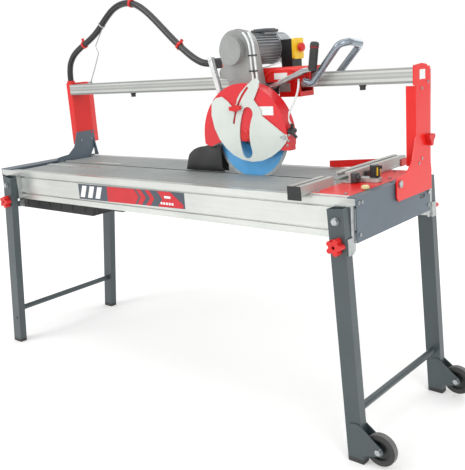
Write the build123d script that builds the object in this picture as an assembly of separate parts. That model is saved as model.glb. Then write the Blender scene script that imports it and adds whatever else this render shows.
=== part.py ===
from build123d import *
import math
import os

# Bridge wet tile saw on folding legs. Millimetres, +Z up, X along the rail, Y from the operator's side to the back.
# While it is modelled, the floor is Z 0, X 0 is the middle of the table frame and Y 0 its centre line.

# ------------------------------------------------------------------ frame
frame_length = 1716.0          # end plate to end plate, outer faces
frame_width = 444.0            # front beam face to rear beam face
table_height = 758.0           # floor to table surface
beam_height = 115.0
beam_thickness = 38.0
beam_wall = 3.0
slot_width = 6.0               # grooves along the outer face of each beam
slot_depth = 7.0
upper_slot_drop = 22.0         # below the top of the beam
lower_slot_drop = 89.0
ledge_depth = 6.0              # rebate that carries the table panels
ledge_width = 12.0
end_plate_thickness = 4.0
end_plate_height = 126.0
end_flange_width = 28.0        # right-hand plate's top flange
left_cover_width = 73.0        # left-hand plate's broad top flange

# ------------------------------------------------------------------ table
panel_skin = 5.0
panel_rib_height = 18.0
panel_clearance = 0.5
cut_line_y = 8.0               # the blade's plane
groove_half_width = 5.0
left_bay_width = 40.0          # gap in the table that the left support stands in
member_positions = (-520.0, -40.0, 440.0)
member_width = 40.0
member_height = 34.0
tray_wall = 3.0
tray_rim = 26.0                # above the bottom of the beams
sump_length = 520.0
sump_depth = 48.0              # below the bottom of the beams
shelf_depth = 17.0
shelf_length = 190.0

# ------------------------------------------------------------------ legs
leg_width = 50.0
leg_thickness = 30.0
leg_wall = 2.0
leg_gap = 22.0                 # beam face to the leg's inner face
pivot_height = table_height - 53.0
leg_head = 34.0                # leg beyond its pivot
right_pivot_x = frame_length / 2 - 34.0
left_pivot_x = -frame_length / 2 + 110.0
right_splay = 3.4              # degrees
left_splay = 8.2
leg_fold_run = 0.5             # running gap of the folding legs
pivot_bolt_radius = 6.0
lock_drop = 67.0               # lock knob below the pivot, along the leg
crossbar_height = 150.0
crossbar_radius = 11.0
foot_height = 14.0
wheel_radius = 48.0
wheel_width = 22.0
wheel_lift = 10.0              # above the floor with the feet down
wheel_leg_gap = 3.0            # tyre to leg
wheel_plate = 3.0
axle_radius = 6.0
shaft_fit = 0.05               # radial running clearance of every pin and shaft

# ------------------------------------------------------------------ bridge
rail_front = 104.0
rail_depth = 64.0
rail_height = 44.0
rail_bottom = table_height + 279.0
rail_wall = 3.0
column_front = 112.0
column_width = 93.0
column_bevel = 40.0
column_plate = 4.0
column_channel = 28.0
column_top = rail_bottom + 51.0
left_support_x = -frame_length / 2 + 102.0    # inner face of the left support's web
beam_clearance = 2.0           # leaning left foot to the rear beam
flare_front = -10.0            # foremost edge of the supports' feet
flare_bottom = table_height - 50.0
tilt_pin_radius = 6.0
joint_height = table_height + 108.0           # clamp knobs of the two supports
hose_diameter = 25.0
hose_y = 125.0
hose_clamp_rise = 39.0         # hose clamp above the carriage's deck

# ------------------------------------------------------------------ head
arbor_x = 326.0
arbor_z = table_height + 135.0
blade_diameter = 300.0
blade_core = 2.2
rim_width = 3.2
rim_depth = 10.0
grip_y = 42.0                  # plunge grip, clear of the push handle beside it
arbor_bore = 25.4
flange_diameter = 68.0
motor_x = 258.0
motor_z = arbor_z + 275.0
housing_front = 28.0
housing_depth = 48.0
housing_radius = 66.0
housing_wall = 5.0
motor_radius = 53.0
motor_length = 150.0
cowl_length = 60.0
fin_count = 30
fin_height = 6.0
rotor_shaft_radius = 9.0
bearing_outer = 20.0
pulley_radius = 30.0
belt_thickness = 5.0
belt_width = 18.0
guard_radius = 176.0
guard_front = -24.0
guard_wall = 3.0
cover_gap = 2.0
cover_thickness = 3.0
cover_knob_x = arbor_x - 26.0
cover_knob_z = arbor_z + 91.0
plunge_x = 200.0
plunge_z = rail_bottom + 59.0
plunge_pin_radius = 8.0
carriage_left = 300.0
carriage_right = 516.0
carriage_wall = 6.0
rail_gap = 1.0                 # carriage to rail
roller_radius = 8.0
roller_gap = 0.3
travel_left = 740.0            # carriage travel from the drawn position
travel_right = 205.0
stop_radius = 11.0             # rubber stops under the rail
jaw_inset_left = 84.0          # jaw under the rail, shorter than the carriage
jaw_inset_right = 48.0

fence_x = frame_length / 2 - 68.0   # pivot of the lengthways fence

half_length = frame_length / 2
half_width = frame_width / 2
beam_bottom = table_height - beam_height
blade_radius = blade_diameter / 2
rail_top = rail_bottom + rail_height
rail_back = rail_front + rail_depth

nodes = {}


# ------------------------------------------------------------------ plain shapes
def block(x0, x1, y0, y1, z0, z1):
    return Pos((x0 + x1) / 2, (y0 + y1) / 2, (z0 + z1) / 2) * Box(abs(x1 - x0), abs(y1 - y0), abs(z1 - z0))


def prism_along_y(outline, y0, y1):
    plane = Plane(origin=(0, max(y0, y1), 0), x_dir=(1, 0, 0), z_dir=(0, -1, 0))
    return extrude(plane * make_face(Polyline(*outline, close=True)), amount=abs(y1 - y0))


def prism_along_x(outline, x0, x1):
    plane = Plane(origin=(min(x0, x1), 0, 0), x_dir=(0, 1, 0), z_dir=(1, 0, 0))
    return extrude(plane * make_face(Polyline(*outline, close=True)), amount=abs(x1 - x0))


def prism_along_z(outline, z0, z1):
    return Pos(0, 0, min(z0, z1)) * extrude(make_face(Polyline(*outline, close=True)), amount=abs(z1 - z0))


def cylinder_along_y(x, z, radius, y0, y1):
    return Pos(x, (y0 + y1) / 2, z) * Rot(90, 0, 0) * Cylinder(radius, abs(y1 - y0))


def cylinder_along_x(y, z, radius, x0, x1):
    return Pos((x0 + x1) / 2, y, z) * Rot(0, 90, 0) * Cylinder(radius, abs(x1 - x0))


def cylinder_along_z(x, y, radius, z0, z1):
    return Pos(x, y, (z0 + z1) / 2) * Cylinder(radius, abs(z1 - z0))


def round_tube(points, radii, radius):
    path = FilletPolyline(*points, radius=radii)
    return sweep(Plane(origin=path @ 0, z_dir=path % 0) * Circle(radius), path=path)


def arc_outline(cx, cz, radius, start, stop, count):
    return [(cx + radius * math.cos(math.radians(start + (stop - start) * i / count)),
             cz + radius * math.sin(math.radians(start + (stop - start) * i / count))) for i in range(count + 1)]


def hex_head(radius, height):
    return extrude(RegularPolygon(radius, 6), amount=height)


def from_arbor(offsets):
    return [(arbor_x + x, arbor_z + z) for x, z in offsets]


def star_knob(lobes, core, lobe, reach, height):
    body = Cylinder(core, height)
    for i in range(lobes):
        turn = math.radians(360 * i / lobes)
        body += Pos(reach * math.cos(turn), reach * math.sin(turn), 0) * Cylinder(lobe, height)
    return body


def add(name, *solids):
    nodes.setdefault(name, []).extend(solids)


# ------------------------------------------------------------------ frame
def beam(side):
    outer = half_width
    inner = half_width - beam_thickness
    body = block(-half_length + end_plate_thickness, half_length - end_plate_thickness,
                 inner, outer, beam_bottom, table_height)
    body -= block(-half_length, half_length, inner, inner + ledge_width, table_height - ledge_depth,
            table_height)
    chamber_top = table_height - upper_slot_drop - slot_width - beam_wall
    chamber_bottom = table_height - lower_slot_drop + beam_wall
    body -= block(-half_length, half_length, inner + beam_wall, outer - beam_wall, chamber_bottom,
            chamber_top)
    body -= block(-half_length, half_length, inner + ledge_width + beam_wall, outer - beam_wall,
                  table_height - upper_slot_drop + beam_wall, table_height - beam_wall)
    body -= block(-half_length, half_length, inner + beam_wall, outer - beam_wall,
                  beam_bottom + beam_wall, table_height - lower_slot_drop - slot_width - beam_wall)
    for drop in (upper_slot_drop, lower_slot_drop):
        body -= block(-half_length, half_length, outer - slot_depth, outer,
                      table_height - drop - slot_width, table_height - drop)
    if side < 0:
        body = mirror(body, about=Plane.XZ)
    return body


def end_plates():
    top = table_height + end_plate_thickness
    bottom = top - end_plate_height
    lug = 15.0
    # right-hand plate: flange on top, lug round the tilt pin, curved lock slot
    plate = block(half_length - end_plate_thickness, half_length, -half_width, half_width, bottom, top)
    plate += block(half_length - end_flange_width, half_length, -half_width, half_width, table_height, top)
    plate += cylinder_along_x(cut_line_y, table_height, lug, half_length - end_plate_thickness, half_length)
    plate -= cylinder_along_x(cut_line_y, table_height, tilt_pin_radius, half_length - 2 * lug,
            half_length + 5)
    plate -= block(half_length - 20, half_length + 5, 152, 184, flare_bottom - 22, flare_bottom - 10)
    add("right_end_plate", plate)
    # left-hand plate: broad cover, and an inner web beside the bay that holds the tilt pin
    left = -half_length
    box_floor = beam_bottom + tray_rim + 8.0
    cover_end = left + left_cover_width
    body = block(left, left + end_plate_thickness, -half_width, half_width, bottom, top)
    body += block(left, cover_end, -half_width, half_width, table_height, top)
    body += block(left_support_x + 2 * column_plate + 1, left_support_x + 3 * column_plate + 1,
                  -half_width + beam_thickness, half_width - beam_thickness, box_floor, table_height - panel_skin - 1)
    body += cylinder_along_x(cut_line_y, table_height, lug, left_support_x + 2 * column_plate + 1,
                             left_support_x + 3 * column_plate + 1)
    body += block(cover_end - end_plate_thickness, left_support_x + 3 * column_plate + 1,
                  -half_width + beam_thickness, half_width - beam_thickness, box_floor, box_floor + 4)
    body += block(cover_end - end_plate_thickness, cover_end, -half_width + beam_thickness,
                  half_width - beam_thickness, box_floor, top)
    body -= cylinder_along_x(cut_line_y, table_height, tilt_pin_radius, cover_end + 5, left_support_x + 40)
    add("left_end_plate", body)


def table_panels():
    top = table_height
    inner = half_width - beam_thickness
    left = left_support_x + 3 * column_plate + 3
    right = half_length - end_flange_width - panel_clearance
    rear_edge = inner + ledge_width - panel_clearance
    # front panel
    front = block(left, right, -rear_edge, cut_line_y - groove_half_width, top - panel_skin, top)
    rear_profile = [(cut_line_y + groove_half_width, top), (cut_line_y + groove_half_width + panel_skin,
            top - panel_skin),
                    (rear_edge, top - panel_skin), (rear_edge, top)]
    rear = prism_along_x(rear_profile, left, right)
    for y in (-150.0, -100.0, -50.0):
        front += block(left + 12, right - 6, y - 2, y + 2, top - panel_rib_height - panel_skin,
                top - panel_skin)
    for y in (65.0, 110.0, 155.0):
        rear += block(left + 12, right - 6, y - 2, y + 2, top - panel_rib_height - panel_skin,
                top - panel_skin)
    for y in [-190 + 26 * i for i in range(8)]:
        if y < cut_line_y - groove_half_width - 5:
            front -= block(left - 1, right + 1, y - 1.25, y + 1.25, top - 1.2, top + 1)
    for y in [36 + 26 * i for i in range(7)]:
        if y < rear_edge - 5:
            rear -= block(left - 1, right + 1, y - 1.25, y + 1.25, top - 1.2, top + 1)
    add("front_table", front)
    add("rear_table", rear)
    # raised wear strips near the left end
    add("front_table", block(left + 6, left + 330, -78, -58, top, top + 4))
    add("rear_table", block(left + 4, left + 360, 18, 40, top, top + 4))


def cross_members():
    inner = half_width - beam_thickness
    top = table_height - panel_skin - panel_rib_height
    for x in member_positions:
        body = block(x - member_width / 2, x + member_width / 2, -inner, inner, top - member_height, top)
        body -= block(x - member_width / 2 + 3, x + member_width / 2 - 3, -inner - 1, inner + 1,
                      top - member_height - 1, top - 3)
        add("cross_members", body)


def water_tray():
    inner = half_width - beam_thickness - 1.0
    left = -half_length + 30.0
    right = half_length - 40.0
    rim = beam_bottom + tray_rim
    floor_z = beam_bottom + 6.0

    def basin(x0, x1, taper, z0, inset):
        outline = [(x0, rim), (x0 + taper, z0), (x1 - taper, z0), (x1, rim)]
        return prism_along_y([(x0 + inset, rim + inset), (x0 + taper + inset, z0 + inset),
                              (x1 - taper - inset, z0 + inset), (x1 - inset,
                                      rim + inset)] if inset else outline,
                             -inner + inset, inner - inset)
    sump_right = left + sump_length
    shelf_right = sump_right + shelf_length
    body = basin(left, right, 10.0, floor_z, 0.0)
    body += basin(left, sump_right, 18.0, beam_bottom - sump_depth, 0.0)
    body += basin(sump_right - 30, shelf_right, 30.0, beam_bottom - shelf_depth, 0.0)
    body -= basin(left, right, 10.0, floor_z, tray_wall)
    body -= basin(left, sump_right, 18.0, beam_bottom - sump_depth, tray_wall)
    body -= basin(sump_right - 30, shelf_right, 30.0, beam_bottom - shelf_depth, tray_wall)
    # hanging lips that rest on brackets inside the beams
    drain_x = left + 60
    body += cylinder_along_z(drain_x, 0, 16, beam_bottom - sump_depth - 6, beam_bottom - sump_depth + 1)
    body -= cylinder_along_z(drain_x, 0, 9, beam_bottom - sump_depth - 10, beam_bottom - sump_depth + 10)
    add("water_tray", body)
    plug = cylinder_along_z(drain_x, 0, 9 - shaft_fit, beam_bottom - sump_depth - 9,
            beam_bottom - sump_depth + 5)
    plug += cylinder_along_z(drain_x, 0, 14, beam_bottom - sump_depth - 13, beam_bottom - sump_depth - 6)
    add("water_tray", plug)
    # submersible pump on the sump floor
    px = left + 190
    base = beam_bottom - sump_depth + tray_wall
    pump = Pos(px, 60, base + 30) * Cylinder(34, 52)
    pump += block(px - 40, px + 40, 30, 90, base, base + 12)
    pump += cylinder_along_z(px, 60, 20, base + 50, base + 62)
    pump += cylinder_along_y(px, base + 28, 9, 90, 116)
    add("water_pump", pump)


# ------------------------------------------------------------------ legs
def leg_point(pivot_x, splay, down, across=0.0):
    # a point on a leg: down from the pivot along the leg, across it towards +X
    lean = math.radians(splay)
    return (pivot_x + down * math.sin(lean) + across * math.cos(lean),
            pivot_height - down * math.cos(lean) + across * math.sin(lean))


def leg_outline(pivot_x, splay, half, bottom_z):
    lean = math.radians(splay)
    outline = [leg_point(pivot_x, splay, -leg_head, -half), leg_point(pivot_x, splay, -leg_head, half)]
    for across in (half, -half):
        down = (pivot_height - bottom_z + across * math.sin(lean)) / math.cos(lean)
        outline.append(leg_point(pivot_x, splay, down, across))
    return outline


def leg_set(prefix, pivot_x, splay):
    y_in = half_width + leg_gap
    y_out = y_in + leg_thickness
    y_mid = (y_in + y_out) / 2
    lean = math.radians(splay)
    crossbar_down = (pivot_height - crossbar_height) / math.cos(lean)
    bar_x, bar_z = leg_point(pivot_x, splay, crossbar_down)
    lock_x, lock_z = leg_point(pivot_x, splay, lock_drop)
    for side in (-1, 1):
        tube = prism_along_y(leg_outline(pivot_x, splay, leg_width / 2, foot_height), side * y_in,
                side * y_out)
        tube -= prism_along_y(leg_outline(pivot_x, splay, leg_width / 2 - leg_wall, foot_height - 5),
                              side * (y_in + leg_wall), side * (y_out - leg_wall))
        tube -= cylinder_along_y(pivot_x, pivot_height, pivot_bolt_radius + shaft_fit,
                                 side * (y_in - 5), side * (y_out + 5))
        tube -= cylinder_along_y(lock_x, lock_z, 4.5, side * (y_in - 5), side * (y_out + 5))
        hole_x, hole_z = leg_point(pivot_x, splay, crossbar_down + 12, 4)
        tube -= cylinder_along_y(hole_x, hole_z - 24, 5, side * (y_mid + 8), side * (y_out + 5))
        add(prefix + "_leg_tubes", tube)
        cap = prism_along_y(leg_outline(pivot_x, splay, leg_width / 2, 0.0), side * y_in, side * y_out)
        cap -= block(-2000, 2000, -2000, 2000, foot_height, 2000)
        plug = prism_along_y(leg_outline(pivot_x, splay, leg_width / 2 - leg_wall, foot_height),
                             side * (y_in + leg_wall), side * (y_out - leg_wall))
        plug -= block(-2000, 2000, -2000, 2000, foot_height + 22, 2000)
        add(prefix + "_leg_feet", cap + plug)
        # bracket: channel bolted to the beam, with the stop flange outboard of the leg
        outboard = 1 if splay > 0 else -1
        web_y0, web_y1 = half_width + leg_gap - leg_fold_run - 4, half_width + leg_gap - leg_fold_run
        out = outboard * (leg_width / 2 + 4)
        back = -outboard * (leg_width / 2 + 2)
        x_a, x_b = sorted((pivot_x + out, pivot_x + back))
        channel = block(x_a, x_b, side * half_width, side * web_y1, pivot_height - 92, pivot_height + 36)
        channel -= block(x_a + 4, x_b - 4, side * (half_width - 1), side * web_y0,
                         pivot_height - 100, pivot_height + 32)
        stop_x = [leg_point(pivot_x, splay, d, outboard * (leg_width / 2 + leg_fold_run)) for d in (50, 96)]
        wing = [stop_x[0], stop_x[1], (stop_x[1][0] + outboard * 4, stop_x[1][1]),
                (stop_x[0][0] + outboard * 4, stop_x[0][1])]
        channel += prism_along_y(wing, side * (web_y1 - 4), side * (web_y1 + 24))
        channel += prism_along_y([(pivot_x + out - outboard * 4, pivot_height - 92),
                                  (stop_x[1][0] + outboard * 4, stop_x[1][1]),
                                  (stop_x[0][0] + outboard * 4, stop_x[0][1]),
                                  (pivot_x + out - outboard * 4,
                                          pivot_height - 40)], side * web_y0, side * web_y1)
        channel -= cylinder_along_y(pivot_x, pivot_height, pivot_bolt_radius, side * (half_width - 5),
                side * y_out)
        channel -= cylinder_along_y(lock_x, lock_z, 4.5, side * (half_width - 5), side * y_out)
        rest = -90 + splay
        slot = arc_outline(pivot_x, pivot_height, lock_drop + 4.5, rest, rest - outboard * 50, 12)
        slot += arc_outline(pivot_x, pivot_height, lock_drop - 4.5, rest - outboard * 50, rest, 12)
        channel -= prism_along_y(slot, side * (half_width - 5), side * (web_y1 + 1))
        add("leg_brackets", channel)
        # pivot bolt: head outside the leg, shank through leg and bracket
        bolt = cylinder_along_y(pivot_x, pivot_height, pivot_bolt_radius, side * web_y0,
                side * (y_out + leg_fold_run))
        bolt += cylinder_along_y(pivot_x, pivot_height, pivot_bolt_radius + 5,
                                 side * (y_out + leg_fold_run), side * (y_out + leg_fold_run + 2))
        bolt += Pos(pivot_x, side * (y_out + leg_fold_run + 2), pivot_height) * Rot(-90 * side, 0,
                0) * hex_head(10, 7)
        add("frame_bolts", bolt)
        # lock knob: stud through the leg into the bracket
        knob = Pos(lock_x, side * (y_out + 1.0 + 11), lock_z) * Rot(90, 0, 0) * (
            star_knob(5, 16, 7.5, 17, 22) - Pos(0, 0, -8 * side) * Cylinder(5, 10))
        knob += cylinder_along_y(lock_x, lock_z, 3.9, side * (y_in + 0.5), side * (y_out + 6))
        name = ("front_" if side < 0 else "rear_") + prefix + "_leg_knob"
        add(name, knob)
    bar = cylinder_along_y(bar_x, bar_z, crossbar_radius, -y_in, y_in)
    bar -= cylinder_along_y(bar_x, bar_z, crossbar_radius - 1.5, -y_in - 1, y_in + 1)
    add(prefix + "_leg_tubes", bar)


def wheels():
    y_in = half_width + leg_gap
    y_out = y_in + leg_thickness
    y_mid = (y_in + y_out) / 2
    axle_z = wheel_radius + wheel_lift
    lean = math.radians(right_splay)
    down = (pivot_height - axle_z) / math.cos(lean)
    centre_x = leg_point(right_pivot_x, right_splay, down)[0]
    axle_x = centre_x + leg_width / 2 + wheel_radius + wheel_leg_gap
    for side, name in ((-1, "front"), (1, "rear")):
        for face in (0, 1):
            y0 = y_out if face else y_in - wheel_plate
            outline = [(centre_x - 14, axle_z + 62), (centre_x + 12, axle_z + 66), (centre_x + 34,
                    axle_z + 50)]
            outline += arc_outline(axle_x, axle_z, 15, 55, -90, 8) + [(centre_x + 20, axle_z - 30),
                    (centre_x - 12, axle_z - 34)]
            plate = prism_along_y(outline, side * y0, side * (y0 + wheel_plate))
            plate -= cylinder_along_y(axle_x, axle_z, axle_radius, side * (y0 - 5), side * (y0 + 10))
            add("wheel_brackets", plate)
        axle = cylinder_along_y(axle_x, axle_z, axle_radius, side * (y_in - wheel_plate - 4),
                side * (y_out + wheel_plate + 1))
        axle += Pos(axle_x, side * (y_out + wheel_plate), axle_z) * Rot(-90 * side, 0, 0) * hex_head(9, 6)
        axle += Pos(axle_x, side * (y_in - wheel_plate), axle_z) * Rot(90 * side, 0, 0) * hex_head(9, 6)
        add("wheel_brackets", axle)
        hub_radius = wheel_radius - 14
        hub = cylinder_along_y(axle_x, axle_z, hub_radius, side * (y_mid - wheel_width / 2 + 1),
                side * (y_mid + wheel_width / 2 - 1))
        for face in (-1, 1):
            ring = Cylinder(hub_radius - 5, 5) - Cylinder(13, 5)
            hub -= Pos(axle_x, side * y_mid + face * (wheel_width / 2 - 1 - 2.5), axle_z) * Rot(90, 0,
                    0) * ring
        hub += cylinder_along_y(axle_x, axle_z, 12, side * (y_mid - leg_thickness / 2 + 0.6),
                side * (y_mid + leg_thickness / 2 - 0.6))
        hub -= cylinder_along_y(axle_x, axle_z, axle_radius + shaft_fit, -400, 400)
        add(name + "_wheel_hub", hub)
        tyre = Pos(axle_x, side * y_mid, axle_z) * Rot(90, 0, 0) * (Cylinder(wheel_radius,
                wheel_width) - Cylinder(hub_radius, wheel_width))
        tyre = fillet(tyre.edges().filter_by(GeomType.CIRCLE).sort_by(lambda e: e.radius)[-2:], 5)
        add(name + "_wheel_tyre", tyre)
    return axle_x, axle_z


# ------------------------------------------------------------------ bridge
def support_outline(high, back_low):
    # column, and a flared foot that reaches forward to the tilt pin under the cut line
    front = column_front
    back = column_front + column_width
    return [(front, high), (back, high), (back, table_height + 54), (back_low, table_height + 10),
            (back_low, flare_bottom),
            (flare_front + 10, flare_bottom), (flare_front, flare_bottom + 12), (flare_front,
                    table_height + 12),
            (flare_front + 8, table_height + 20), (54, table_height + 26), (88,
                    table_height + 54), (front - 12, table_height + 87),
            (front, table_height + 122)]


def bevel_flange(x_web, direction, low, high):
    # rear edge of a support, folded back at an angle
    back = column_front + column_width
    run = column_bevel
    reach = direction * 16.0
    outline = [(x_web, back - 3), (x_web + direction * column_plate, back - 3),
            (x_web + direction * column_plate, back),
               (x_web + reach + direction * column_plate, back + run), (x_web + reach,
                       back + run), (x_web, back)]
    return prism_along_z(outline, low, high)


def supports():
    # right-hand support: red plate outside the end plate, flared foot and column in one
    x0 = half_length + 4.0
    x1 = x0 + column_plate
    plate = prism_along_x(support_outline(column_top - 6, column_front + column_width + 10), x0, x1)
    plate += prism_along_x([(rail_front - 3, rail_bottom - 6), (rail_front - 3, column_top),
            (column_front + 40, column_top + 4),
                            (column_front + 70, column_top), (column_front + column_width, column_top - 16),
                            (column_front + column_width, rail_bottom - 6)], x0, x1)
    plate += bevel_flange(x1, -1, table_height + 30, column_top - 16)
    plate += block(x0 - column_channel, x0 + 1, column_front, column_front + column_plate,
            table_height + 34, rail_bottom - 8)
    plate -= cylinder_along_x(cut_line_y, table_height, tilt_pin_radius + shaft_fit, x0 - 5, x1 + 5)
    knob_y = column_front + column_width - 14
    plate -= cylinder_along_x(knob_y, joint_height, 5, x0 - 5, x1 + 5)
    add("right_column", plate)
    # left-hand support: grey foot, and a red column bolted behind it
    web1 = left_support_x
    web0 = web1 - column_plate
    column = block(web0, web1, column_front, column_front + column_width, table_height + 54, column_top - 4)
    column += block(web0 - column_channel, web0 + 1, column_front, column_front + column_plate,
            table_height + 64, column_top - 4)
    column += bevel_flange(web0, -1, table_height + 64, column_top - 4)
    column += block(web0 - column_channel, web1, column_front, column_front + column_width,
            column_top - 4, column_top)
    column += Pos(web0 - 10, hose_y, column_top + 4) * Cylinder(17, 9)
    column -= cylinder_along_x(knob_y, joint_height, 5, web0 - 5, web1 + 5)
    add("left_column", column)
    # its lower rear corner swings about the tilt pin inside the rear beam
    swing = half_width - beam_thickness - cut_line_y - beam_clearance
    back_low = cut_line_y + math.sqrt(swing ** 2 - (table_height - flare_bottom) ** 2)
    foot = prism_along_x(support_outline(joint_height + 24, back_low), web1, web1 + column_plate)
    foot -= block(web1 - 1, web1 + 10, column_front - 20, column_front + column_width + 20,
            joint_height + 9, joint_height + 60)
    gusset_back = column_front + column_width - 4
    foot += prism_along_y([(web1 + 1, joint_height - 8), (web1 + column_plate + 22, table_height + 6),
            (web1 + 1, table_height + 6)],
                          gusset_back - 4, gusset_back)
    foot -= cylinder_along_x(cut_line_y, table_height, tilt_pin_radius + shaft_fit, web1 - 5,
            web1 + column_plate + 5)
    foot -= cylinder_along_x(knob_y, joint_height, 5, web1 - 5, web1 + 10)
    add("left_support_foot", foot)
    # tilt pins, fixed in the end plates
    def pin(y, z, inner, outer, direction):
        body = cylinder_along_x(y, z, tilt_pin_radius, inner, outer + direction * 0.4)
        body += cylinder_along_x(y, z, tilt_pin_radius + 4.5, outer + direction * 0.4,
                outer + direction * 5.4)
        return body
    add("frame_bolts", pin(cut_line_y, table_height, half_length - end_plate_thickness, x1, 1),
        pin(cut_line_y, table_height, left_support_x + 3 * column_plate + 1, web1, -1))
    # clamp knobs
    for name, x, direction in (("right_support_knob", x1, 1), ("left_support_knob", web0 - 0, -1)):
        start = x + direction * 1.0
        reach = 14.0 if direction > 0 else 14.0 + column_channel
        knob = Pos(start + direction * (reach - 7), knob_y, joint_height) * Rot(0, 90, 0) * star_knob(3,
                12, 8, 13, 14)
        knob += cylinder_along_x(knob_y, joint_height, 4.8, x - direction * 9,
                start + direction * (reach - 8))
        add(name, knob)
    # rail: hollow aluminium, ribbed front face
    x_left, x_right = web1, x0
    rail = block(x_left, x_right, rail_front, rail_back, rail_bottom, rail_top)
    half = (rail_depth - 3 * rail_wall) / 2
    for i in range(2):
        y0 = rail_front + rail_wall + i * (half + rail_wall)
        rail -= block(x_left - 1, x_right + 1, y0, y0 + half, rail_bottom + rail_wall, rail_top - rail_wall)
    for z in (rail_bottom + 11, rail_bottom + 24, rail_bottom + 33):
        rail -= block(x_left - 1, x_right + 1, rail_front - 1, rail_front + 1.5, z - 1.5, z + 1.5)
        rail -= block(x_left - 1, x_right + 1, rail_back - 1.5, rail_back + 1, z - 1.5, z + 1.5)
    add("rail", rail)
    # rubber stops under the rail
    jaw_left, jaw_right = carriage_left + jaw_inset_left, carriage_right - jaw_inset_right
    for x in (jaw_right + travel_right + stop_radius + 1, jaw_left - travel_left - stop_radius - 1):
        stop = cylinder_along_z(x, rail_front + 18, stop_radius - 2, rail_bottom - 16, rail_bottom)
        stop += cylinder_along_z(x, rail_front + 18, stop_radius, rail_bottom - 5, rail_bottom)
        add("rail", stop)


def hose():
    top = column_top + 8.5
    x0 = left_support_x - column_plate - 10
    points = [(x0, top), (x0, 1150), (-735, 1199), (-681, 1229), (-612, 1256), (-548, 1290), (-492,
            1335), (-432, 1372),
              (-362, 1384), (-300, 1370), (-242, 1333), (-182, 1282), (-120, 1227), (-58, 1178), (-6,
                      1145), (38, 1130), (86, 1130)]
    bends = []
    length = 0.0
    for i in range(1, len(points) - 1):
        a, b, c = points[i - 1], points[i], points[i + 1]
        run1, run2 = math.dist(a, b), math.dist(b, c)
        turn = math.acos(((b[0] - a[0]) * (c[0] - b[0]) + (b[1] - a[1]) * (c[1] - b[1])) / run1 / run2)
        bends.append(0.45 * min(run1, run2) / math.tan(turn / 2))
    spine = FilletPolyline(*[(x, hose_y, z) for x, z in points], radius=bends)
    tube = sweep(Plane(origin=spine @ 0, z_dir=spine % 0) * Circle(hose_diameter / 2), path=spine)
    print("hose bend radii", [round(r) for r in bends])
    print("hose length", round(spine.length, 1), "volume", round(tube.volume), "section x length",
          round(math.pi * hose_diameter ** 2 / 4 * spine.length))
    add("hose", tube)

    def ring_at(point, toward, inner, outer, width):
        plane = Plane(origin=(point[0], hose_y, point[1]), z_dir=(toward[0], 0, toward[1]))
        return extrude(plane * (Circle(outer) - Circle(inner)), amount=width / 2, both=True)

    def middle(i):
        a, b = points[i], points[i + 1]
        return ((a[0] + b[0]) / 2, (a[1] + b[1]) / 2), (b[0] - a[0], b[1] - a[1])
    grip = hose_diameter / 2 - 0.2
    for i in (3, 8, 12):
        point, toward = middle(i)
        clip = ring_at(point, toward, grip, hose_diameter / 2 + 3, 11)
        size = math.hypot(*toward)
        normal = (-toward[1] / size, toward[0] / size)
        ear = Pos(point[0] + normal[0] * 20, hose_y, point[1] + normal[1] * 20) * Rot(0,
                -math.degrees(math.atan2(toward[1], toward[0])), 0) * Box(9, 8, 13)
        add("hose_clips", clip + ear)
    # spring wire that props the hose, clamped to the back of the rail's top
    point, toward = middle(5)
    clamp = ring_at(point, toward, grip, hose_diameter / 2 + 2, 7)
    foot = (-636.0, hose_y, rail_top)
    path = [(-634.0, hose_y, rail_top + 4), (-598, hose_y, 1140), (-560, hose_y, 1203), (-575, hose_y,
            1232), (point[0], hose_y, point[1] - hose_diameter / 2 - 1)]
    wire = round_tube(path, [14, 9, 9], 2.0)
    wire += cylinder_along_z(foot[0], foot[1], 8, rail_top, rail_top + 9)
    add("support_wire", wire + clamp)
    return points[-1]


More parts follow.
